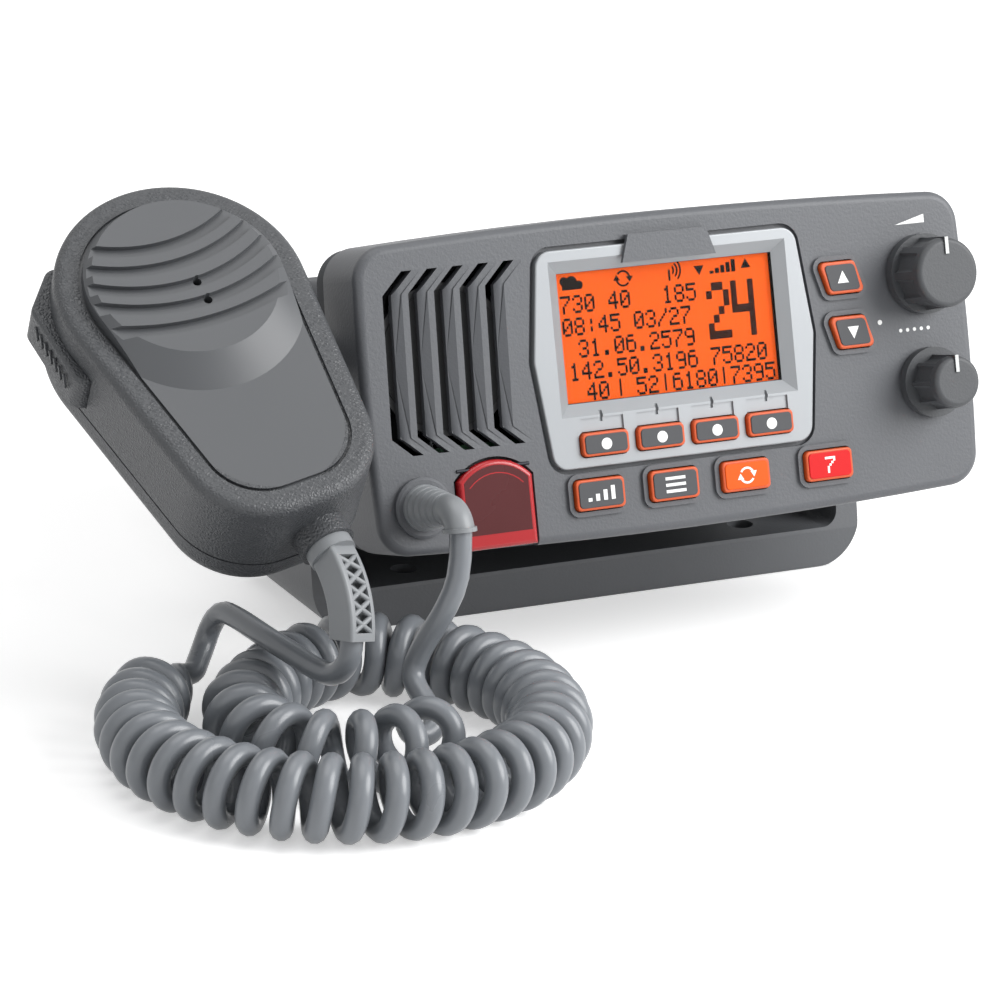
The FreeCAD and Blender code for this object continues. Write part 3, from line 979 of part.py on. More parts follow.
def rounded_path(places):
    edges, start = [], places[0]
    for before, corner, after in zip(places, places[1:], places[2:]):
        arrive, leave = corner - before, after - corner
        half_turn = arrive.getAngle(leave) / 2
        reach = 0.45 * min(arrive.Length, leave.Length)
        radius = reach / math.tan(half_turn)
        print(f"    turn {math.degrees(2 * half_turn):5.1f} radius {radius:6.1f}")
        first = corner - arrive.normalize() * reach
        last = corner + leave.normalize() * reach
        inward = (first + last) * 0.5 - corner
        depth = radius / math.cos(half_turn) - radius
        edges.append(Part.LineSegment(start, first).toShape())
        edges.append(Part.Arc(first, corner + inward.normalize() * depth, last).toShape())
        start = last
    edges.append(Part.LineSegment(start, places[-1]).toShape())
    return Part.Wire(edges)


def tube(name, places, radius):
    print(name)
    path = rounded_path(places)
    profile = Part.Wire([Part.Circle(places[0], places[1] - places[0], radius).toShape()])
    shape = path.makePipeShell([profile], True, False)
    section = math.pi * radius * radius * path.Length
    print(f"    length {path.Length:.1f} volume {shape.Volume:.1f} section times length {section:.1f}")
    return solid(name, shape)


def coil_places():
    """Centreline of the curled stretch: an outer loop that winds inward to a second one."""
    stations = [("coil_start", "coil_outer"), ("coil_turning", "coil_outer"),
                ("coil_turned", "coil_inner + 5"), ("coil_turned + 80", "coil_inner"),
                ("coil_end", "coil_inner")]
    angles = [number(angle) for angle, radius in stations]
    radii = [number(radius) for angle, radius in stations]
    centre = Vector(number("coil_middle_left"), number("coil_middle_front"), number("coil_radius"))
    places, angle = [], angles[0]
    while angle < angles[-1] + 0.01:
        index = max(i for i in range(len(angles) - 1) if angles[i] <= angle + 0.01)
        share = (angle - angles[index]) / (angles[index + 1] - angles[index])
        share = share * share * (3 - 2 * share)
        radius = radii[index] + (radii[index + 1] - radii[index]) * share
        turned = math.radians(angle)
        places.append(centre + Vector(math.cos(turned), math.sin(turned), 0) * radius)
        step = math.degrees(number("coil_run") / radius)
        left = (angles[-1] - angle) / step
        angle += (angles[-1] - angle) / max(round(left), 1) if left > 0.5 else step
    return places


def make_strain_relief():
    """Curved sleeve whose outer side is a window crossed by a lattice, on a collar and spigot."""
    foot = microphone_place.multVec(Vector(number("collar_middle"), number("collar_depth"),
                                           -number("mic_foot_drop + mic_foot_radius")))
    down = microphone_place.Rotation.multVec(Vector(0, 0, -1))
    neck = foot + down * number("collar_length")
    chord = Vector(*RELIEF_END) - neck
    half_turn = down.getAngle(chord)
    radius = chord.Length / (2 * math.sin(half_turn))
    across = down.cross(chord).normalize()
    inward = across.cross(down)
    centre = neck + inward * radius

    def at(share, lift, side=0.0):
        """Point by its share of the bend, height above the middle line and distance across."""
        swing = Rotation(across, math.degrees(2 * half_turn * share))
        return centre + swing.multVec(inward * -1) * (radius + lift) + across * side

    def band(low, high, start, finish, reach):
        middle = (start + finish) / 2
        sides = [Part.Arc(at(start, high, -reach), at(middle, high, -reach), at(finish, high, -reach)),
                 Part.LineSegment(at(finish, high, -reach), at(finish, low, -reach)),
                 Part.Arc(at(finish, low, -reach), at(middle, low, -reach), at(start, low, -reach)),
                 Part.LineSegment(at(start, low, -reach), at(start, high, -reach))]
        face = Part.Face(Part.Wire([side.toShape() for side in sides]))
        return face.extrude(across * (2 * reach))

    reach, depth = number("relief_half_width"), number("relief_half_depth")
    sleeve = band(-depth, depth, 0, 1, reach)
    long_edges = [edge for edge in sleeve.Edges if not isinstance(edge.Curve, Part.Line)]
    sleeve = sleeve.makeFillet(number("relief_round"), long_edges)
    opening = number("relief_half_width - relief_rail")
    floor = depth - number("relief_window")
    sleeve = sleeve.cut(band(floor, depth + 1, WINDOW_START, WINDOW_END, opening))
    lattice, bar = [], number("relief_bar")
    for index in range(RELIEF_CELLS):
        start, finish = [WINDOW_START + (WINDOW_END - WINDOW_START) * (index + end) / RELIEF_CELLS
                         for end in (0, 1)]
        for side in (-opening - bar, opening + bar):
            first, last = at(start, depth - bar, side), at(finish, depth - bar, -side)
            lattice.append(Part.makeCylinder(bar, (last - first).Length, first, last - first))
        lattice.append(Part.makeSphere(number("relief_dimple"), at((start + finish) / 2, floor)))
    collar = Part.makeCylinder(number("collar_radius"), number("collar_length - collar_sleeve + 1"),
                               foot + down * number("collar_sleeve"), down)
    spigot = Part.makeCylinder(number("spigot"), number("mic_wall + collar_sleeve + 1"),
                               foot - down * number("mic_wall"), down)
    solid("microphone_strain_relief", spigot.fuse([collar, sleeve] + lattice).removeSplitter())


def make_leads():
    coil = coil_places()
    exit_point = on_face("-(gland_middle)", "-(gland_level)").multVec(
        Vector(0, -number("gland_rise + boot_length + elbow_bend"), -number("elbow_bend")))
    radio_lead = [exit_point] + [Vector(*place) for place in RADIO_LEAD] + [coil[-1]]
    tube("radio_lead", radio_lead, number("cord_radius"))
    tube("cord_coil", coil, number("coil_radius"))
    microphone_lead = [Vector(*place) for place in (RELIEF_END,) + MICROPHONE_LEAD] + [coil[0]]
    tube("microphone_lead", microphone_lead, number("cord_radius"))


make_front_panel()
make_panel_parts()
make_keys()
make_boards()
make_rotary_controls()
make_distress_key()
make_case()
make_lead_entry()
make_bracket()
make_microphone()
make_hanger()
make_strain_relief()
make_leads()
document.recompute()

for item in document.Objects:
    if "Invalid" in item.State or "Error" in item.State:
        raise ValueError(f"{item.Name} did not build: {item.State}")
    if item.TypeId in ("PartDesign::Pocket", "PartDesign::Groove"):
        if item.BaseFeature.Shape.Volume - item.Shape.Volume < 1e-4:
            raise ValueError(f"{item.Name} cuts nothing")
os.makedirs("parts", exist_ok=True)
for item in nodes:
    if item.Shape.isNull() or not item.Shape.isValid():
        raise ValueError(f"{item.Label} has no valid shape")
    item.Shape.exportStep(f"parts/{item.Label}.step")
print(len(nodes), "nodes")
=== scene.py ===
"""Marine radio in its gimbal bracket, with a fist microphone and a curly cord beside it."""

import math

import bmesh
import bpy
from mathutils import Euler, Matrix, Vector


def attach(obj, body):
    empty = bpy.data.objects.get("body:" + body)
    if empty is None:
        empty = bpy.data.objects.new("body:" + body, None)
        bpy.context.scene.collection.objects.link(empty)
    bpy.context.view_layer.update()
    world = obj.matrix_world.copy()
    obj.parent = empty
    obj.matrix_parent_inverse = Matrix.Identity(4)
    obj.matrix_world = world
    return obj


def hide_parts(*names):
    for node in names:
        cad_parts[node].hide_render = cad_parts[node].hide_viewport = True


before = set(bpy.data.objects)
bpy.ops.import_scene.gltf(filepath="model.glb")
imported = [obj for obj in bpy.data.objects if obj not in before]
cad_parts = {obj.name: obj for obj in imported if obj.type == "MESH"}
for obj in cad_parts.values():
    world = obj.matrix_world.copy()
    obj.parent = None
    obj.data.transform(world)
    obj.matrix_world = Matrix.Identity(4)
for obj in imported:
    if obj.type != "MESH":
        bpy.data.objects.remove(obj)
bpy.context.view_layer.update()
MM = 0.001

# ---- the two frames that detail is placed in ----
# Both are in millimetres: x across, y from the face to the back, z up the face.

PIVOT_HEIGHT, PIVOT_DEPTH, TILT = 52.3, 65.4, math.radians(15.5)
RADIO = Matrix.Translation((0, 0, PIVOT_HEIGHT)) @ Matrix.Rotation(-TILT, 4, "X")
RADIO = RADIO @ Matrix.Translation((0, -PIVOT_DEPTH, 0))
MIC_PLACE = (-117.86, -48.35, 97.74)
MIC_TURN = [math.radians(angle) for angle in (-53.0, -10.8, 4.6)]
MIC = Matrix.Translation(MIC_PLACE) @ Euler(MIC_TURN, "XYZ").to_matrix().to_4x4()


# ---- materials ----

GRAIN_STRENGTH = 0.6
DRIFT_SCALE = 28.0  # patches of about 36 mm, as handling and moulding leave them
DRIFT_LOW, DRIFT_HIGH = 0.3, 0.7  # between these lie most values of a noise pattern
GLOSS_DRIFT = 0.03
METAL_GRAIN, METAL_BUMP, METAL_SHADE = 0.2, 0.01, 0.05

# The satin field of the microphone's face: an upright drop shape in its own frame, wide at
# the top and narrower at the foot.
SATIN_TOP, SATIN_FOOT, SATIN_DROP = 23.6, 17.6, 39.5
LEATHER_CELLS = 1.15  # cells to the millimetre
LEATHER_DEPTH = 0.32  # deeper than an etched tool cuts, so that the cells show


def srgb(code):
    """Linear colour of a hex sRGB code."""
    shares = [int(code[index:index + 2], 16) / 255 for index in (1, 3, 5)]
    linear = [s / 12.92 if s <= 0.04045 else ((s + 0.055) / 1.055) ** 2.4 for s in shares]
    return (*linear, 1.0)


def node(tree, kind, inputs=None, **settings):
    """Adds a shader node; an input is a value or another node's output.

    Inputs go by name or by number: 6 and 7 are the two colours of a Mix node, and 1 to 4 the
    two ends of a Map Range node's input and of its output.
    """
    made = tree.nodes.new("ShaderNode" + kind)
    for name, value in settings.items():
        setattr(made, name, value)
    for name, value in (inputs or {}).items():
        if isinstance(value, bpy.types.NodeSocket):
            tree.links.new(value, made.inputs[name])
        else:
            made.inputs[name].default_value = value
    return made


def finish(name, colour, roughness, grain, bump, shade=0.12, **extra):
    """Surface with a fine grain, a slow drift of colour and an uneven gloss.

    Grain is its size and bump its depth, both in millimetres, and shade is how far the
    colour drifts to either side. Extra values go to the shader's own sockets.
    """
    material = bpy.data.materials.new(name)
    material.use_nodes = True
    tree = material.node_tree
    surface = tree.nodes["Principled BSDF"]
    place_of = node(tree, "TexCoord").outputs["Object"]
    fine = node(tree, "TexNoise", {"Vector": place_of, "Scale": 1 / (grain * MM), "Detail": 3.0})
    slow = node(tree, "TexNoise", {"Vector": place_of, "Scale": DRIFT_SCALE, "Detail": 5.0})
    dark = [share * (1 - shade) for share in srgb(colour)[:3]] + [1]
    light = [min(share * (1 + shade), 1) for share in srgb(colour)[:3]] + [1]
    mixed = node(tree, "Mix", {0: slow.outputs[0], 6: dark, 7: light}, data_type="RGBA")
    tree.links.new(mixed.outputs[2], surface.inputs["Base Color"])
    gloss = node(tree, "MapRange", {0: slow.outputs[0], 1: DRIFT_LOW, 2: DRIFT_HIGH,
                                    3: roughness - GLOSS_DRIFT, 4: roughness + GLOSS_DRIFT})
    tree.links.new(gloss.outputs[0], surface.inputs["Roughness"])
    relief = node(tree, "Bump", {"Height": fine.outputs[0], "Strength": GRAIN_STRENGTH,
                                 "Distance": bump * MM})
    tree.links.new(relief.outputs[0], surface.inputs["Normal"])
    for socket, value in extra.items():
        surface.inputs[socket.replace("_", " ")].default_value = value
    return material


def metal(name, colour, roughness):
    return finish(name, colour, roughness, METAL_GRAIN, METAL_BUMP, METAL_SHADE, Metallic=1.0)


def microphone_finish(name, colour, satin_colour):
    """Leather grain, but satin on the field inside the groove of the microphone's face."""
    material = finish(name, colour, roughness=0.42, grain=0.5, bump=0.02)
    tree = material.node_tree
    surface = tree.nodes["Principled BSDF"]
    place_of = node(tree, "TexCoord").outputs["Object"]
    local = node(tree, "Mapping", {"Vector": place_of, "Location": MIC.to_translation() * MM,
                                   "Rotation": MIC.to_euler(), "Scale": (MM, MM, MM)},
                 vector_type="TEXTURE").outputs[0]
    across, _, up = node(tree, "SeparateXYZ", {0: local}).outputs
    share = node(tree, "Math", {0: up, 1: -1 / SATIN_DROP}, operation="MULTIPLY",
                 use_clamp=True).outputs[0]
    height = node(tree, "Math", {0: share, 1: SATIN_DROP, 2: up},
                  operation="MULTIPLY_ADD").outputs[0]
    offset = node(tree, "CombineXYZ", {0: across, 1: height}).outputs[0]
    reach = node(tree, "VectorMath", {0: offset}, operation="LENGTH").outputs["Value"]
    radius = node(tree, "MapRange", {0: share, 3: SATIN_TOP, 4: SATIN_FOOT}).outputs[0]
    outside = node(tree, "Math", {0: reach, 1: radius}, operation="GREATER_THAN").outputs[0]
    cells = node(tree, "TexVoronoi", {"Vector": local, "Scale": LEATHER_CELLS},
                 feature="DISTANCE_TO_EDGE").outputs[0]
    grain = node(tree, "Math", {0: cells, 1: outside}, operation="MULTIPLY", use_clamp=True)
    relief = node(tree, "Bump", {"Height": grain.outputs[0], "Strength": 1.0,
                                 "Distance": LEATHER_DEPTH * MM})
    tree.links.new(relief.outputs[0], surface.inputs["Normal"])
    colours = node(tree, "Mix", {0: outside, 6: srgb(satin_colour), 7: srgb(colour)},
                   data_type="RGBA")
    tree.links.new(colours.outputs[2], surface.inputs["Base Color"])
    return material


# ABS moulded in a spark-eroded tool: an even grit that softens every highlight. The grit is
# about 0.2 mm and drawn at 0.7 mm so that it shows, here and on the knobs and the bracket.
PANEL = finish("spark_textured_abs", "#55575b", 0.46, 0.7, 0.11)
# Rubber moulded over the knobs' cores with the same grit: darker, with dull grips.
KNOB = finish("spark_textured_rubber", "#3f4144", 0.5, 0.6, 0.08)
# Glass-filled nylon moulded with it too: a little paler than the panel.
BRACKET = finish("spark_textured_nylon", "#5b5d60", 0.45, 0.7, 0.09)
# ABS sprayed with silver lacquer: smooth, with a weak glint of metal flake.
BEZEL = finish("silver_lacquered_abs", "#95989b", 0.4, 0.2, 0.008, 0.05, Metallic=0.4)
# Silicone rubber moulded smooth, with its top lacquered: dull dark tops on bright orange
# skirts. The coloured tops are lacquered in orange and red, and shine less than plastic.
KEY_FACE = finish("lacquered_grey_silicone", "#3f4043", 0.6, 0.25, 0.012)
ORANGE = finish("moulded_orange_silicone", "#c9501c", 0.4, 0.4, 0.006)
ORANGE_FACE = finish("lacquered_orange_silicone", "#e4580b", 0.5, 0.4, 0.006,
                     Specular_IOR_Level=0.25)
RED = finish("lacquered_red_silicone", "#cf1216", 0.5, 0.4, 0.006, Specular_IOR_Level=0.25)
# ABS moulded in a tool etched with leather grain: small cells that each catch the light,
# drawn about 0.9 mm across, coarser than real, so that they show.
MIC_SHELL = microphone_finish("leather_grained_abs", "#424447", "#4e5053")
# Plasticised PVC drawn over the wires: a soft gloss that runs along each curl.
CORD = finish("extruded_pvc_jacket", "#787c81", 0.3, 0.5, 0.006, 0.08)
# PVC moulded over the cord's ends: paler than the cord, with less gloss.
RELIEF = finish("overmoulded_pvc", "#85888b", 0.42, 0.5, 0.008)
# Die-cast aluminium under a baked powder coat: nearly matt, with a fine orange peel.
CASE = finish("powder_coated_aluminium", "#3b3d41", 0.66, 0.45, 0.05, Specular_IOR_Level=0.35)
# EPDM rubber, moulded: deep black with no shine.
BLACK = finish("moulded_black_rubber", "#141516", 0.6, 0.3, 0.02)
# Pad-printed ink: flat and even, in white on the keys and in pale grey on the knobs.
WHITE = finish("printed_white_ink", "#f2f3f2", 0.5, 0.3, 0.002, 0.02)
POINTER = finish("printed_grey_ink", "#c9cccb", 0.4, 0.4, 0.004)
# Metals, turned or pressed and left as they are, oil-blackened, or plated: the smoother the
# surface was made, the sharper it mirrors the room.
STEEL = metal("pressed_stainless_steel", "#b9bcc0", 0.28)
BLACKENED = metal("oil_blackened_steel", "#35363a", 0.45)
BRASS = metal("turned_brass", "#b9923f", 0.3)
NICKEL = metal("nickel_plated_brass", "#c9cbc8", 0.18)
# Glass-epoxy laminate under green solder resist, and epoxy-moulded components on it.
BOARD = finish("solder_resist_on_laminate", "#14532c", 0.4, 0.5, 0.01)
COMPONENT = finish("moulded_black_epoxy", "#1a1b1d", 0.5, 0.4, 0.01)
# Woven polyester, dyed black: it swallows the light behind the speaker's slots.
CLOTH = finish("woven_black_polyester", "#101112", 0.85, 0.25, 0.06)
# Polycarbonate with an anti-glare coat, which its low IOR stands for: clear, hardly mirroring.
WINDOW = finish("coated_clear_polycarbonate", "#f4f6f5", 0.02, 0.6, 0.002, 0.02,
                Transmission_Weight=1.0, IOR=1.2)
# Red polycarbonate moulded in a polished tool: a bright red rim round a darker middle.
COVER = finish("polished_red_polycarbonate", "#a9181f", 0.2, 0.4, 0.004, 0.05)
# The darker middle is painted shade: a dark red sheet for the shaded hollow behind the cover.
COVER_PAINTED_SHADE = finish("red_polycarbonate_painted_shade", "#4e1a1c", 0.25, 0.4, 0.004, 0.1,
                    Specular_IOR_Level=0.3)
# ABS moulded smooth: a plain glossy red.
BUTTON = finish("moulded_red_abs", "#c4151b", 0.35, 0.4, 0.006)
# Diffuser film over lamps, glowing evenly, and the liquid crystal's flat black dots on it.
LCD_LIT = finish("backlit_amber_film", "#e5560d", 0.6, 0.5, 0.002, 0.03, Specular_IOR_Level=0.1,
                 Emission_Color=srgb("#e5560d"), Emission_Strength=0.32)
LCD_DARK = finish("liquid_crystal_black", "#120805", 0.6, 0.4, 0.002, Specular_IOR_Level=0.1)
# Matt paper under the object.
PAPER = finish("matt_white_paper", "#f6f6f6", 0.9, 5, 0.0, 0.005, Specular_IOR_Level=0.0)

NODE_FINISHES = {
    PANEL: ["front_panel", "cord_gland"],
    KNOB: ["volume_knob", "squelch_knob", "gimbal_knob_left", "gimbal_knob_right"],
    BRACKET: ["gimbal_bracket"],
    BEZEL: ["lcd_bezel"],
    ORANGE: ["soft_key_a", "soft_key_b", "soft_key_c", "soft_key_d", "power_level_key",
             "menu_key", "scan_key", "priority_key", "channel_up_key", "channel_down_key"],
    MIC_SHELL: ["microphone_front_shell", "microphone_back_shell", "ptt_button"],
    CORD: ["radio_lead", "cord_coil", "microphone_lead"],
    RELIEF: ["cord_boot", "microphone_strain_relief"],
    CASE: ["rear_case", "heat_sink"],
    BLACK: ["panel_gasket", "tilt_washers", "power_gland"],
    STEEL: ["rf_shield", "volume_encoder", "squelch_encoder", "volume_shaft", "squelch_shaft",
            "panel_screws", "gimbal_stud_left", "gimbal_stud_right", "microphone_hanger",
            "hanger_screws", "microphone_screws", "hang_up_stud"],
    BLACKENED: ["distress_cover_pin", "distress_cover_spring"],
    BRASS: ["gimbal_inserts"],
    NICKEL: ["antenna_socket"],
    BOARD: ["front_board", "main_board", "microphone_board"],
    COMPONENT: ["lcd_module", "speaker_driver", "power_module", "key_switches",
                "microphone_capsule", "ptt_switch"],
    CLOTH: ["speaker_membrane"],
    WINDOW: ["lcd_window"],
    COVER: ["distress_cover"],
    BUTTON: ["distress_button"],
}
for material, names in NODE_FINISHES.items():
    for name in names:
        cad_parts[name].material_slots[0].material = material


# ---- pieces, and the flat outlines that they are cut from ----

ON_FRONT = 1e-4  # a corner this near to the front lies on it


def piece(name, mesh, material, body):
    made = bpy.data.objects.new(name, mesh)
    bpy.context.collection.objects.link(made)
    made.data.materials.append(material)
    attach(made, body)
    return made


def slab(name, outlines, matrix, front, back, material, body, soften=0.0):
    """Plates with these outlines (across, up) between two depths of a frame."""
    shape = bmesh.new()
    for outline in outlines:
        face = shape.faces.new([shape.verts.new((x, back, z)) for x, z in outline])
        grown = bmesh.ops.extrude_face_region(shape, geom=[face])["geom"]
        moved = [item for item in grown if isinstance(item, bmesh.types.BMVert)]
        bmesh.ops.translate(shape, verts=moved, vec=(0, front - back, 0))
    bmesh.ops.recalc_face_normals(shape, faces=shape.faces)
    if soften:
        rim = [edge for edge in shape.edges
               if all(abs(corner.co.y - front) < ON_FRONT for corner in edge.verts)]
        bmesh.ops.bevel(shape, geom=rim, offset=soften, segments=2, profile=0.5, affect="EDGES")
    bmesh.ops.transform(shape, verts=shape.verts, matrix=Matrix.Scale(MM, 4) @ matrix)
    mesh = bpy.data.meshes.new(name)
    shape.to_mesh(mesh)
    shape.free()
    return piece(name, mesh, material, body)


def rounded_ring(half_width, half_height, radius, steps=5):
    """Corner points of a rounded rectangle about the middle, anticlockwise."""
    points = []
    for side, up, start in ((1, 1, 0), (-1, 1, 90), (-1, -1, 180), (1, -1, 270)):
        for step in range(steps + 1):
            angle = math.radians(start + 90 * step / steps)
            points.append((side * (half_width - radius) + radius * math.cos(angle),
                           up * (half_height - radius) + radius * math.sin(angle)))
    return points


def shifted(outline, across, up, lean=0.0):
    return [(x + across - lean * z, z + up) for x, z in outline]


def disc(radius, across, up, count=24):
    return [(across + radius * math.cos(2 * math.pi * i / count),
             up + radius * math.sin(2 * math.pi * i / count)) for i in range(count)]


def bar(x0, z0, x1, z1, width):
    """Straight stroke between two points."""
    along = Vector((x1 - x0, z1 - z0)).normalized()
    side = Vector((-along.y, along.x)) * width / 2
    return [(x0 - side.x, z0 - side.y), (x1 - side.x, z1 - side.y),
            (x1 + side.x, z1 + side.y), (x0 + side.x, z0 + side.y)]


def arc_strip(radius, width, start, stop, across, up, steps=10):
    """Stroke along an arc between two angles in degrees."""
    angles = [math.radians(start + (stop - start) * i / steps) for i in range(steps + 1)]
    outer = [(across + (radius + width / 2) * math.cos(a), up + (radius + width / 2) * math.sin(a))
             for a in angles]
    inner = [(across + (radius - width / 2) * math.cos(a), up + (radius - width / 2) * math.sin(a))
             for a in reversed(angles)]
    return outer + inner


def chasing_arrows(across, up, radius, width, start, head):
    """Two arcs that follow each other round, each with an arrowhead on its first end."""
    shapes = []
    for side, first in ((1, start), (-1, start + 180)):
        shapes.append(arc_strip(radius, width, first, first + 130, across, up))
        shapes.append([(across + side * x, up + side * z) for x, z in head])
    return shapes


# Rows of dots from the top down. The small letters are five dots wide and seven high.
SMALL_LETTERS = {
    "0": "01110 10001 10011 10101 11001 10001 01110",
    "1": "00100 01100 00100 00100 00100 00100 01110",
    "2": "01110 10001 00001 00110 01000 10000 11111",
    "3": "01110 10001 00001 00110 00001 10001 01110",
    "4": "00010 00110 01010 10010 11111 00010 00010",
    "5": "11111 10000 11110 00001 00001 10001 01110",
    "6": "01110 10000 11110 10001 10001 10001 01110",
    "7": "11111 00001 00010 00100 01000 01000 01000",
    "8": "01110 10001 10001 01110 10001 10001 01110",
    "9": "01110 10001 10001 01111 00001 00001 01110",
    ":": "00000 00100 00100 00000 00100 00100 00000",
    ".": "00000 00000 00000 00000 00000 01100 01100",
    "/": "00001 00001 00010 00100 01000 10000 10000",
    " ": "00000 00000 00000 00000 00000 00000 00000",
}
LARGE_DIGITS = {
    "2": "0110 1001 0001 0010 0100 1000 1111",
    "4": "1001 1001 1001 1111 0001 0001 0001",
}


def dotted(text, left, top, step_x, step_z, letters=SMALL_LETTERS, pitch=6, share=1, fill=1.0):
    """Dot-matrix text from its upper left corner, with each dot split into share by share."""
    dots = []
    fine_x, fine_z = step_x / share, step_z / share
    for place_in_line, letter in enumerate(text):
        for line, row in enumerate(letters[letter].split()):
            for column, lit in enumerate(row):
                for index in range(share * share if lit == "1" else 0):
                    x = left + (place_in_line * pitch + column) * step_x + index % share * fine_x
                    z = top - line * step_z - index // share * fine_z
                    dots.append([(x, z - fill * fine_z), (x + fill * fine_x, z - fill * fine_z),
                                 (x + fill * fine_x, z), (x, z)])
    return dots


# ---- keys: lacquered faces on orange caps, with plain signs ----

SOFT_KEYS = [("soft_key_" + letter, 0.5 + (index - 1.5) * 14.5)
             for index, letter in enumerate("abcd")]
LOWER_KEYS = {"power_level_key": -23.8, "menu_key": -4.4, "scan_key": 14.5, "priority_key": 36.9}
CHANNEL_KEYS = [("channel_up_key", 44.8, 17.2, 1), ("channel_down_key", 46.4, 4.1, -1)]
SOFT_ROW, LOWER_ROW = -15.0, -26.5
SOFT_SHAPE = rounded_ring(5.4, 2.15, 0.9)
LOWER_SHAPE = rounded_ring(5.65, 3.0, 1.0)
CHANNEL_SHAPE = rounded_ring(4.0, 3.1, 1.0)
CHANNEL_LEAN = 0.22
KEY_FRONT = -2.0
FACE_PROUD = 0.25
FACE_EDGE = 0.15
SIGN_PROUD = 0.06
SOFT_DOT = 1.35
CHASE_HEAD = ((0.9, 0.9), (2.6, 0.9), (1.8, -0.5))
LOWER_FACES = {"scan_key": ORANGE_FACE, "priority_key": RED}


def key_face(name, outline, material=KEY_FACE):
    slab(name + "_face", [outline], RADIO, KEY_FRONT - FACE_PROUD, KEY_FRONT, material,
         name + "_cap", FACE_EDGE)


def key_sign(name, outlines):
    front = KEY_FRONT - FACE_PROUD
    slab(name + "_sign", outlines, RADIO, front - SIGN_PROUD, front, WHITE, name + "_cap")


def make_key_faces():
    for name, across in SOFT_KEYS:
        key_face(name, shifted(SOFT_SHAPE, across, SOFT_ROW))
        key_sign(name, [disc(SOFT_DOT, across, SOFT_ROW - 0.1)])
    for name, across in LOWER_KEYS.items():
        key_face(name, shifted(LOWER_SHAPE, across, LOWER_ROW), LOWER_FACES.get(name, KEY_FACE))
    for name, across, up, way in CHANNEL_KEYS:
        key_face(name, shifted(CHANNEL_SHAPE, across, up, CHANNEL_LEAN))
        key_sign(name, [[(across - 1.5, up - way * 1.3), (across + 1.5, up - way * 1.3),
                         (across, up + way * 1.6)]])


def make_lower_signs():
    """Rising bars, three lines, chasing arrows and a number."""
    first = LOWER_KEYS["power_level_key"] - 3
    key_sign("power_level_key", [bar(first + 2 * i, -28.0, first + 2 * i, -27.2 + 0.8 * i, 1.0)
                                 for i in range(4)])
    across = LOWER_KEYS["menu_key"]
    key_sign("menu_key", [bar(across - 2.6, LOWER_ROW + step, across + 2.6, LOWER_ROW + step, 0.7)
                          for step in (-1.5, 0, 1.5)])
    key_sign("scan_key", chasing_arrows(LOWER_KEYS["scan_key"], LOWER_ROW, 1.75, 0.5, 20,
                                        CHASE_HEAD))
    key_sign("priority_key", dotted("7", LOWER_KEYS["priority_key"] - 1.35, -24.6, 0.55, 0.55))


# ---- display ----

FILM_LEFT, FILM_RIGHT, FILM_FOOT, FILM_TOP = -28.4, 27.8, -5.3, 24.8
FILM_FRONT, FILM_BACK = 2.95, 3.08
DOT_FRONT, DOT_BACK = 2.85, 2.94
DOT_WIDTH, DOT_HEIGHT = 0.515, 0.6
LARGE_WIDTH, LARGE_HEIGHT, LARGE_PITCH = 1.5, 1.9, 4.4
LARGE_SPLIT, LARGE_FILL = 4, 0.93
DIVIDERS = (-13.9, -2.1, 13.4)
DISPLAY_HEAD = ((0.8, 0.4), (2.6, 0.4), (1.7, -0.9))
DISPLAY_LINES = [("730 40", -27.4, 19.6), ("185", -0.8, 19.6), ("08:45 03/27", -27.4, 14.4),
                 ("31.06.2579", -23.8, 9.2), ("142.50.3196", -26.6, 4.0), ("75820", 10.4, 4.0),
                 ("40", -22.6, -0.9), ("52", -9.7, -0.9), ("6180", -0.2, -0.9),
                 ("7395", 15.2, -0.9)]


def top_row_signs():
    """Small signs along the display's top: a cloud, arrows, waves and rising bars."""
    shapes = [disc(1.1, -26.0, 22.9, 16), disc(1.5, -24.1, 22.6, 16), disc(1.0, -22.2, 21.9, 16),
              bar(-26.6, 21.4, -21.6, 21.4, 1.0)]
    shapes += chasing_arrows(-10.7, 22.3, 1.7, 0.45, 10, DISPLAY_HEAD)
    shapes += [bar(1.4, 20.6, 1.4, 23.2, 0.5)]
    shapes += [arc_strip(radius, 0.4, -45, 45, 1.4, 23.0) for radius in (1.2, 2.1, 3.0)]
    shapes += [[(8.0, 23.4), (10.6, 23.4), (9.3, 21.2)], [(20.4, 21.8), (23.0, 21.8), (21.7, 24.0)]]
    shapes += [bar(12.6 + 1.45 * step, 21.2, 12.6 + 1.45 * step, 21.9 + 0.55 * step, 1.05)
               for step in range(5)]
    return shapes


def make_display():
    corners = [(FILM_LEFT, FILM_FOOT), (FILM_RIGHT, FILM_FOOT), (FILM_RIGHT, FILM_TOP),
               (FILM_LEFT, FILM_TOP)]
    slab("display_glow", [corners], RADIO, FILM_FRONT, FILM_BACK, LCD_LIT, "radio")
    dots = dotted("24", 10.6, 19.1, LARGE_WIDTH, LARGE_HEIGHT, LARGE_DIGITS, LARGE_PITCH,
                  LARGE_SPLIT, LARGE_FILL)
    for text, across, top in DISPLAY_LINES:
        dots += dotted(text, across, top, DOT_WIDTH, DOT_HEIGHT)
    dots += [bar(across, FILM_FOOT + 0.5, across, FILM_FOOT + 4.5, 0.45) for across in DIVIDERS]
    dots += top_row_signs()
    slab("display_segments", dots, RADIO, DOT_FRONT, DOT_BACK, LCD_DARK, "radio")
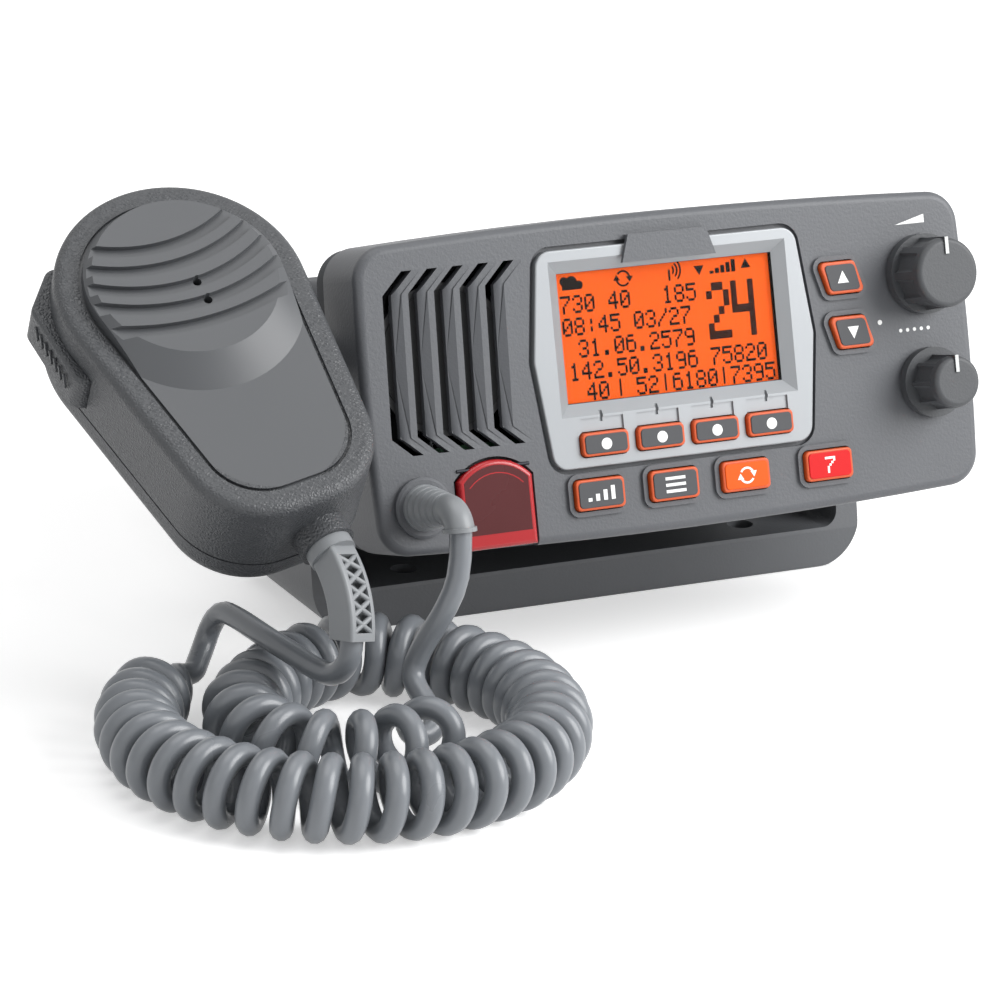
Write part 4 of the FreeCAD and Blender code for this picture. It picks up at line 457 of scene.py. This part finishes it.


# ---- marks on the panel and the knobs, painted shade in the cover, the talk bar's grip ----

MARK_FRONT, MARK_BACK = -0.05, 0.02
KNOB_ACROSS = 67.2
KNOB_TOPS = {"volume": 16.0 + 8.2, "squelch": -10.0 + 6.1}  # a knob's middle and its radius
POINTER_FRONT, POINTER_BACK = -13.7, -13.65
POINTER_LENGTH, POINTER_OVERHANG, POINTER_WIDTH = 3.75, 0.3, 0.9
COVER_MIDDLE, COVER_HALF, COVER_FOOT = -49.7, 8.1, -32.6
COVER_ARCH, COVER_ARCH_CENTRE, COVER_ARC_RADIUS = 11.2, -28.1, 9.4
COVER_FRONT, COVER_BACK = -1.26, -1.19
COVER_ARC_FRONT, COVER_ARC_BACK, COVER_ARC_WIDTH = -1.3, -1.25, 0.25
GRIP_TOP, GRIP_STEP, GRIP_RIDGES, GRIP_DEPTH = 7.6, 2.3, 7, -13.0
GRIP_FRONT, GRIP_BACK = -31.75, -31.2
RIDGE_REACH, RIDGE_WIDTH, RIDGE_EDGE = 2.6, 0.7, 0.12


def make_marks():
    """Wedge and dots of the volume scale, a locating dot, and a pointer on each knob."""
    wedge = [(61.5, 28.2), (69.5, 28.2), (69.5, 30.2)]
    dots = [disc(0.45, 60.5 + 1.9 * index, 3.0) for index in range(5)]
    slab("panel_marks", [wedge, disc(0.6, 55.0, 5.5)] + dots, RADIO, MARK_FRONT, MARK_BACK,
         WHITE, "radio")
    for name, top in KNOB_TOPS.items():
        stroke = bar(KNOB_ACROSS, top - POINTER_LENGTH, KNOB_ACROSS, top + POINTER_OVERHANG,
                     POINTER_WIDTH)
        slab(name + "_pointer", [stroke], RADIO, POINTER_FRONT, POINTER_BACK, POINTER,
             name + "_dial")


def make_cover_shade_and_arc():
    """Painted shade in the middle of the sprung cover, inside its bright rim, with one fine arc."""
    spread = math.degrees(math.asin(COVER_HALF / COVER_ARCH))
    crown = [math.radians(90 - spread + 2 * spread * step / 12) for step in range(13)]
    outline = [(COVER_MIDDLE - COVER_HALF, COVER_FOOT), (COVER_MIDDLE + COVER_HALF, COVER_FOOT)]
    outline += [(COVER_MIDDLE + COVER_ARCH * math.cos(angle),
                 COVER_ARCH_CENTRE + COVER_ARCH * math.sin(angle)) for angle in crown]
    # A dark sheet inside the cover's rim: painted shade for the hollow behind it.
    slab("cover_painted_shade", [outline], RADIO, COVER_FRONT, COVER_BACK, COVER_PAINTED_SHADE, "distress_flap")
    line = arc_strip(COVER_ARC_RADIUS, COVER_ARC_WIDTH, 90 - spread, 90 + spread,
                     COVER_MIDDLE, COVER_ARCH_CENTRE)
    slab("cover_arc", [line], RADIO, COVER_ARC_FRONT, COVER_ARC_BACK, COVER, "distress_flap")


def make_talk_bar_grip():
    """Raised chevrons down the outer side of the microphone's talk bar."""
    side = MIC @ Matrix.Rotation(-math.pi / 2, 4, "Z")
    chevrons = []
    for index in range(GRIP_RIDGES):
        up = GRIP_TOP - GRIP_STEP * index
        for reach in (-RIDGE_REACH, RIDGE_REACH):
            chevrons.append(bar(GRIP_DEPTH, up - 0.9, GRIP_DEPTH + reach, up + 0.7, RIDGE_WIDTH))
    slab("talk_bar_grip", chevrons, side, GRIP_FRONT, GRIP_BACK, MIC_SHELL, "transmit_bar",
         RIDGE_EDGE)


# ---- cord: one spline, straight leads and a helix wound along the coil's centreline ----
# In millimetres; every point but the first is in the frame of the whole object.

CORD_DIAMETER = 5.2
CURL_RADIUS = 7.2
CURL_POINTS = 14  # to a turn of the helix
CURL_PITCH = 6.7
TIGHT_PITCH = 5.75  # on the inside of a bend, where the curls crowd together
CURL_START = 18.0  # length over which the curls open from the straight wire
CURL_STRETCH = 5  # times the pitch, where the curls begin to open
BEND_REACH = 12  # points of the centreline to either side that a bend is measured over
MOST_BEND = 0.06  # one over the tightest bend that the pitch allows for
COIL_MIDDLE = Vector((-101, -101, 9.8))
COIL_STATIONS = [(114, 46), (420, 46), (470, 26), (550, 21), (722, 21)]  # degrees round, radius
COIL_RUN = 16.0  # between two points of the centreline
COIL_END_RUN = 2.2  # from either end of the coil to the next point of its lead
ANGLE_SLACK = 0.01
SOCKET_EXIT = (-68.2, -20.0, -29.7)  # in the radio's frame, where the boot lets the cord go
RADIO_LEAD = [(-69.0, -92.9, 38.0), (-73.6, -94.1, 29.6), (-78.0, -92.0, 21.6),
              (-80.6, -91.2, 14.4)]
RELIEF_END = (-100.7, -104.2, 30.0)
MICROPHONE_LEAD = [(-101.1, -104.8, 27.1), (-102.0, -104.2, 24.3), (-103.0, -102.5, 22.1),
                   (-104.1, -99.9, 20.9), (-105.6, -95.1, 21.1), (-107.6, -88.0, 22.3),
                   (-109.9, -78.0, 23.2), (-111.2, -65.0, 23.6), (-112.0, -56.6, 23.0),
                   (-113.2, -53.2, 18.6), (-115.2, -53.6, 13.6)]


def smooth_curve(name, points, thickness=0.0, resolution=6):
    curve = bpy.data.curves.new(name, "CURVE")
    curve.dimensions = "3D"
    curve.resolution_u = resolution
    spline = curve.splines.new("NURBS")
    spline.points.add(len(points) - 1)
    for control, point in zip(spline.points, points):
        control.co = (*(Vector(point) * MM), 1.0)
    spline.order_u = 3
    spline.use_endpoint_u = True
    curve.bevel_depth = thickness / 2 * MM
    curve.bevel_resolution = 4
    curve.use_fill_caps = bool(thickness)
    return bpy.data.objects.new(name, curve)


def along_curve(points):
    """Points in millimetres along the smooth curve that these control points make."""
    guide = smooth_curve("guide", points, resolution=24)
    mesh = bpy.data.meshes.new_from_object(guide)
    return [vertex.co / MM for vertex in mesh.vertices]


def coil_places():
    """Control points of the coil's centreline, whose radius eases from station to station."""
    places, angle = [], COIL_STATIONS[0][0]
    last = COIL_STATIONS[-1][0]
    while angle < last + ANGLE_SLACK:
        index = max(i for i in range(len(COIL_STATIONS) - 1)
                    if COIL_STATIONS[i][0] <= angle + ANGLE_SLACK)
        (start, radius_here), (stop, radius_there) = COIL_STATIONS[index:index + 2]
        share = (angle - start) / (stop - start)
        radius = radius_here + (radius_there - radius_here) * share * share * (3 - 2 * share)
        turned = math.radians(angle)
        places.append(COIL_MIDDLE + Vector((math.cos(turned), math.sin(turned), 0)) * radius)
        step = math.degrees(COIL_RUN / radius)
        left = (last - angle) / step
        angle += (last - angle) / max(round(left), 1) if left > 0.5 else step
    return places


def curls(centres):
    """Helix round the centreline that opens from the straight wire at each end.

    It is wider spaced in tight bends, so that the curls don't cut into each other there.
    """
    points, phase = [], 0.0
    control_radius = CURL_RADIUS / math.cos(math.pi / CURL_POINTS)
    lengths = [0.0]
    for before, after in zip(centres, centres[1:]):
        lengths.append(lengths[-1] + (after - before).length)
    travelled, index = 0.0, 0
    while travelled < lengths[-1]:
        while lengths[index + 1] < travelled:
            index += 1
        share = (travelled - lengths[index]) / (lengths[index + 1] - lengths[index])
        centre = centres[index].lerp(centres[index + 1], share)
        low, high = max(index - BEND_REACH, 0), min(index + BEND_REACH + 1, len(centres) - 1)
        back, ahead = centres[index] - centres[low], centres[high] - centres[index]
        bend = back.angle(ahead, 0) / max((back.length + ahead.length) / 2, 0.1)
        pitch = max(CURL_PITCH, TIGHT_PITCH / (1 - CURL_RADIUS * min(bend, MOST_BEND)))
        sideways = Vector((ahead.y, -ahead.x, 0)).normalized()
        swell = min(travelled / CURL_START, (lengths[-1] - travelled) / CURL_START, 1.0)
        pitch *= CURL_STRETCH - (CURL_STRETCH - 1) * swell
        radius = control_radius * swell ** 1.5
        outward = sideways * math.cos(phase) + Vector((0, 0, 1)) * math.sin(phase)
        points.append(centre + outward * radius)
        phase += 2 * math.pi / CURL_POINTS
        travelled += pitch / CURL_POINTS
    return points


def near(corner, other):
    """Point on the run from the corner to the other, one short step from the corner."""
    return Vector(corner) + (Vector(other) - Vector(corner)).normalized() * COIL_END_RUN


def make_cord():
    coil = coil_places()
    helix = curls(along_curve(coil))
    exit_point = RADIO @ Vector(SOCKET_EXIT)
    route = [exit_point] + [Vector(point) for point in RADIO_LEAD]
    route += [near(coil[-1], RADIO_LEAD[-1])] + list(reversed(helix))
    route += [near(coil[0], MICROPHONE_LEAD[-1])]
    route += [Vector(point) for point in reversed(MICROPHONE_LEAD)] + [Vector(RELIEF_END)]
    cord = smooth_curve("curly_cord", route, CORD_DIAMETER, 3)
    bpy.context.collection.objects.link(cord)
    cord.data.materials.append(CORD)
    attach(cord, "radio")
    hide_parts("radio_lead", "cord_coil", "microphone_lead")
    line = along_curve(route)


# ---- view, floor and light, in metres ----

LENS, SENSOR = 159.0, 36.0
CAMERA_PLACE = (-0.4706, -0.9350, 0.3568)
CAMERA_AHEAD = Vector((0.41706, 0.85523, -0.30764)).normalized()
CAMERA_RIGHT = Vector((0.90160, -0.43206, 0.02116)).normalized()
ROOM_LIGHT = 0.32  # what the room gives the object; seen or mirrored, the room is plain white
FLOOR_REACH = 3.0
# The floor glows only where it is seen. The glow grows from the first strength to the second
# between the two distances, so that the floor ends as white as the room and the shadow stays.
FLOOR_NEAR, FLOOR_FAR, GLOW_NEAR, GLOW_FAR = 0.2, 0.9, 0.45, 0.8
LAMP_SIZE = 0.9
LAMPS = [("key_light", (0.7, -0.68, 0.62), 15), ("fill_light", (-0.9, -0.7, 0.5), 1.2),
         ("top_light", (-0.1, 0.0, 1.1), 4)]
LAMP_TARGET = Vector((-0.03, -0.05, 0.05))


def seen_or_mirrored(tree, otherwise, strength):
    """One strength for what the camera, a mirror or glass sees, another for light on things."""
    path = node(tree, "LightPath")
    rays = [path.outputs["Is " + kind + " Ray"] for kind in ("Camera", "Glossy", "Transmission")]
    either = node(tree, "Math", {0: rays[0], 1: rays[1]}, operation="MAXIMUM").outputs[0]
    either = node(tree, "Math", {0: either, 1: rays[2]}, operation="MAXIMUM").outputs[0]
    return node(tree, "MapRange", {0: either, 3: otherwise, 4: strength}).outputs[0]


def make_camera():
    eye = bpy.data.cameras.new("view")
    eye.lens, eye.sensor_width = LENS, SENSOR
    camera = bpy.data.objects.new("view", eye)
    upward = CAMERA_RIGHT.cross(CAMERA_AHEAD)
    turn = Matrix((CAMERA_RIGHT, upward, -CAMERA_AHEAD)).transposed().to_4x4()
    camera.matrix_world = Matrix.Translation(CAMERA_PLACE) @ turn
    bpy.context.collection.objects.link(camera)
    bpy.context.scene.camera = camera


def make_room():
    bpy.context.scene.view_settings.view_transform = "Standard"
    world = bpy.data.worlds.new("studio")
    bpy.context.scene.world = world
    world.use_nodes = True
    tree = world.node_tree
    background = tree.nodes["Background"]
    background.inputs["Color"].default_value = srgb("#ffffff")
    tree.links.new(seen_or_mirrored(tree, ROOM_LIGHT, 1.0), background.inputs["Strength"])
    for name, where, power in LAMPS:
        lamp = bpy.data.lights.new(name, "AREA")
        lamp.shape, lamp.size, lamp.energy = "DISK", LAMP_SIZE, power
        light = bpy.data.objects.new(name, lamp)
        light.location = where
        light.rotation_euler = (LAMP_TARGET - Vector(where)).to_track_quat("-Z", "Y").to_euler()
        bpy.context.collection.objects.link(light)


def make_floor():
    shape = bmesh.new()
    bmesh.ops.create_grid(shape, x_segments=1, y_segments=1, size=FLOOR_REACH)
    mesh = bpy.data.meshes.new("floor")
    shape.to_mesh(mesh)
    shape.free()
    floor = bpy.data.objects.new("floor", mesh)
    tree = PAPER.node_tree
    surface = tree.nodes["Principled BSDF"]
    surface.inputs["Emission Color"].default_value = srgb("#ffffff")
    place_of = node(tree, "TexCoord").outputs["Object"]
    away = node(tree, "VectorMath", {0: place_of}, operation="LENGTH").outputs["Value"]
    paler = node(tree, "MapRange", {0: away, 1: FLOOR_NEAR, 2: FLOOR_FAR, 3: GLOW_NEAR,
                                    4: GLOW_FAR}).outputs[0]
    seen = seen_or_mirrored(tree, 0.0, 1.0)
    strength = node(tree, "Math", {0: seen, 1: paler}, operation="MULTIPLY").outputs[0]
    tree.links.new(strength, surface.inputs["Emission Strength"])
    floor.data.materials.append(PAPER)
    bpy.context.collection.objects.link(floor)


make_camera()
make_room()
make_floor()
make_cord()
make_key_faces()
make_lower_signs()
make_display()
make_marks()
make_cover_shade_and_arc()
make_talk_bar_grip()
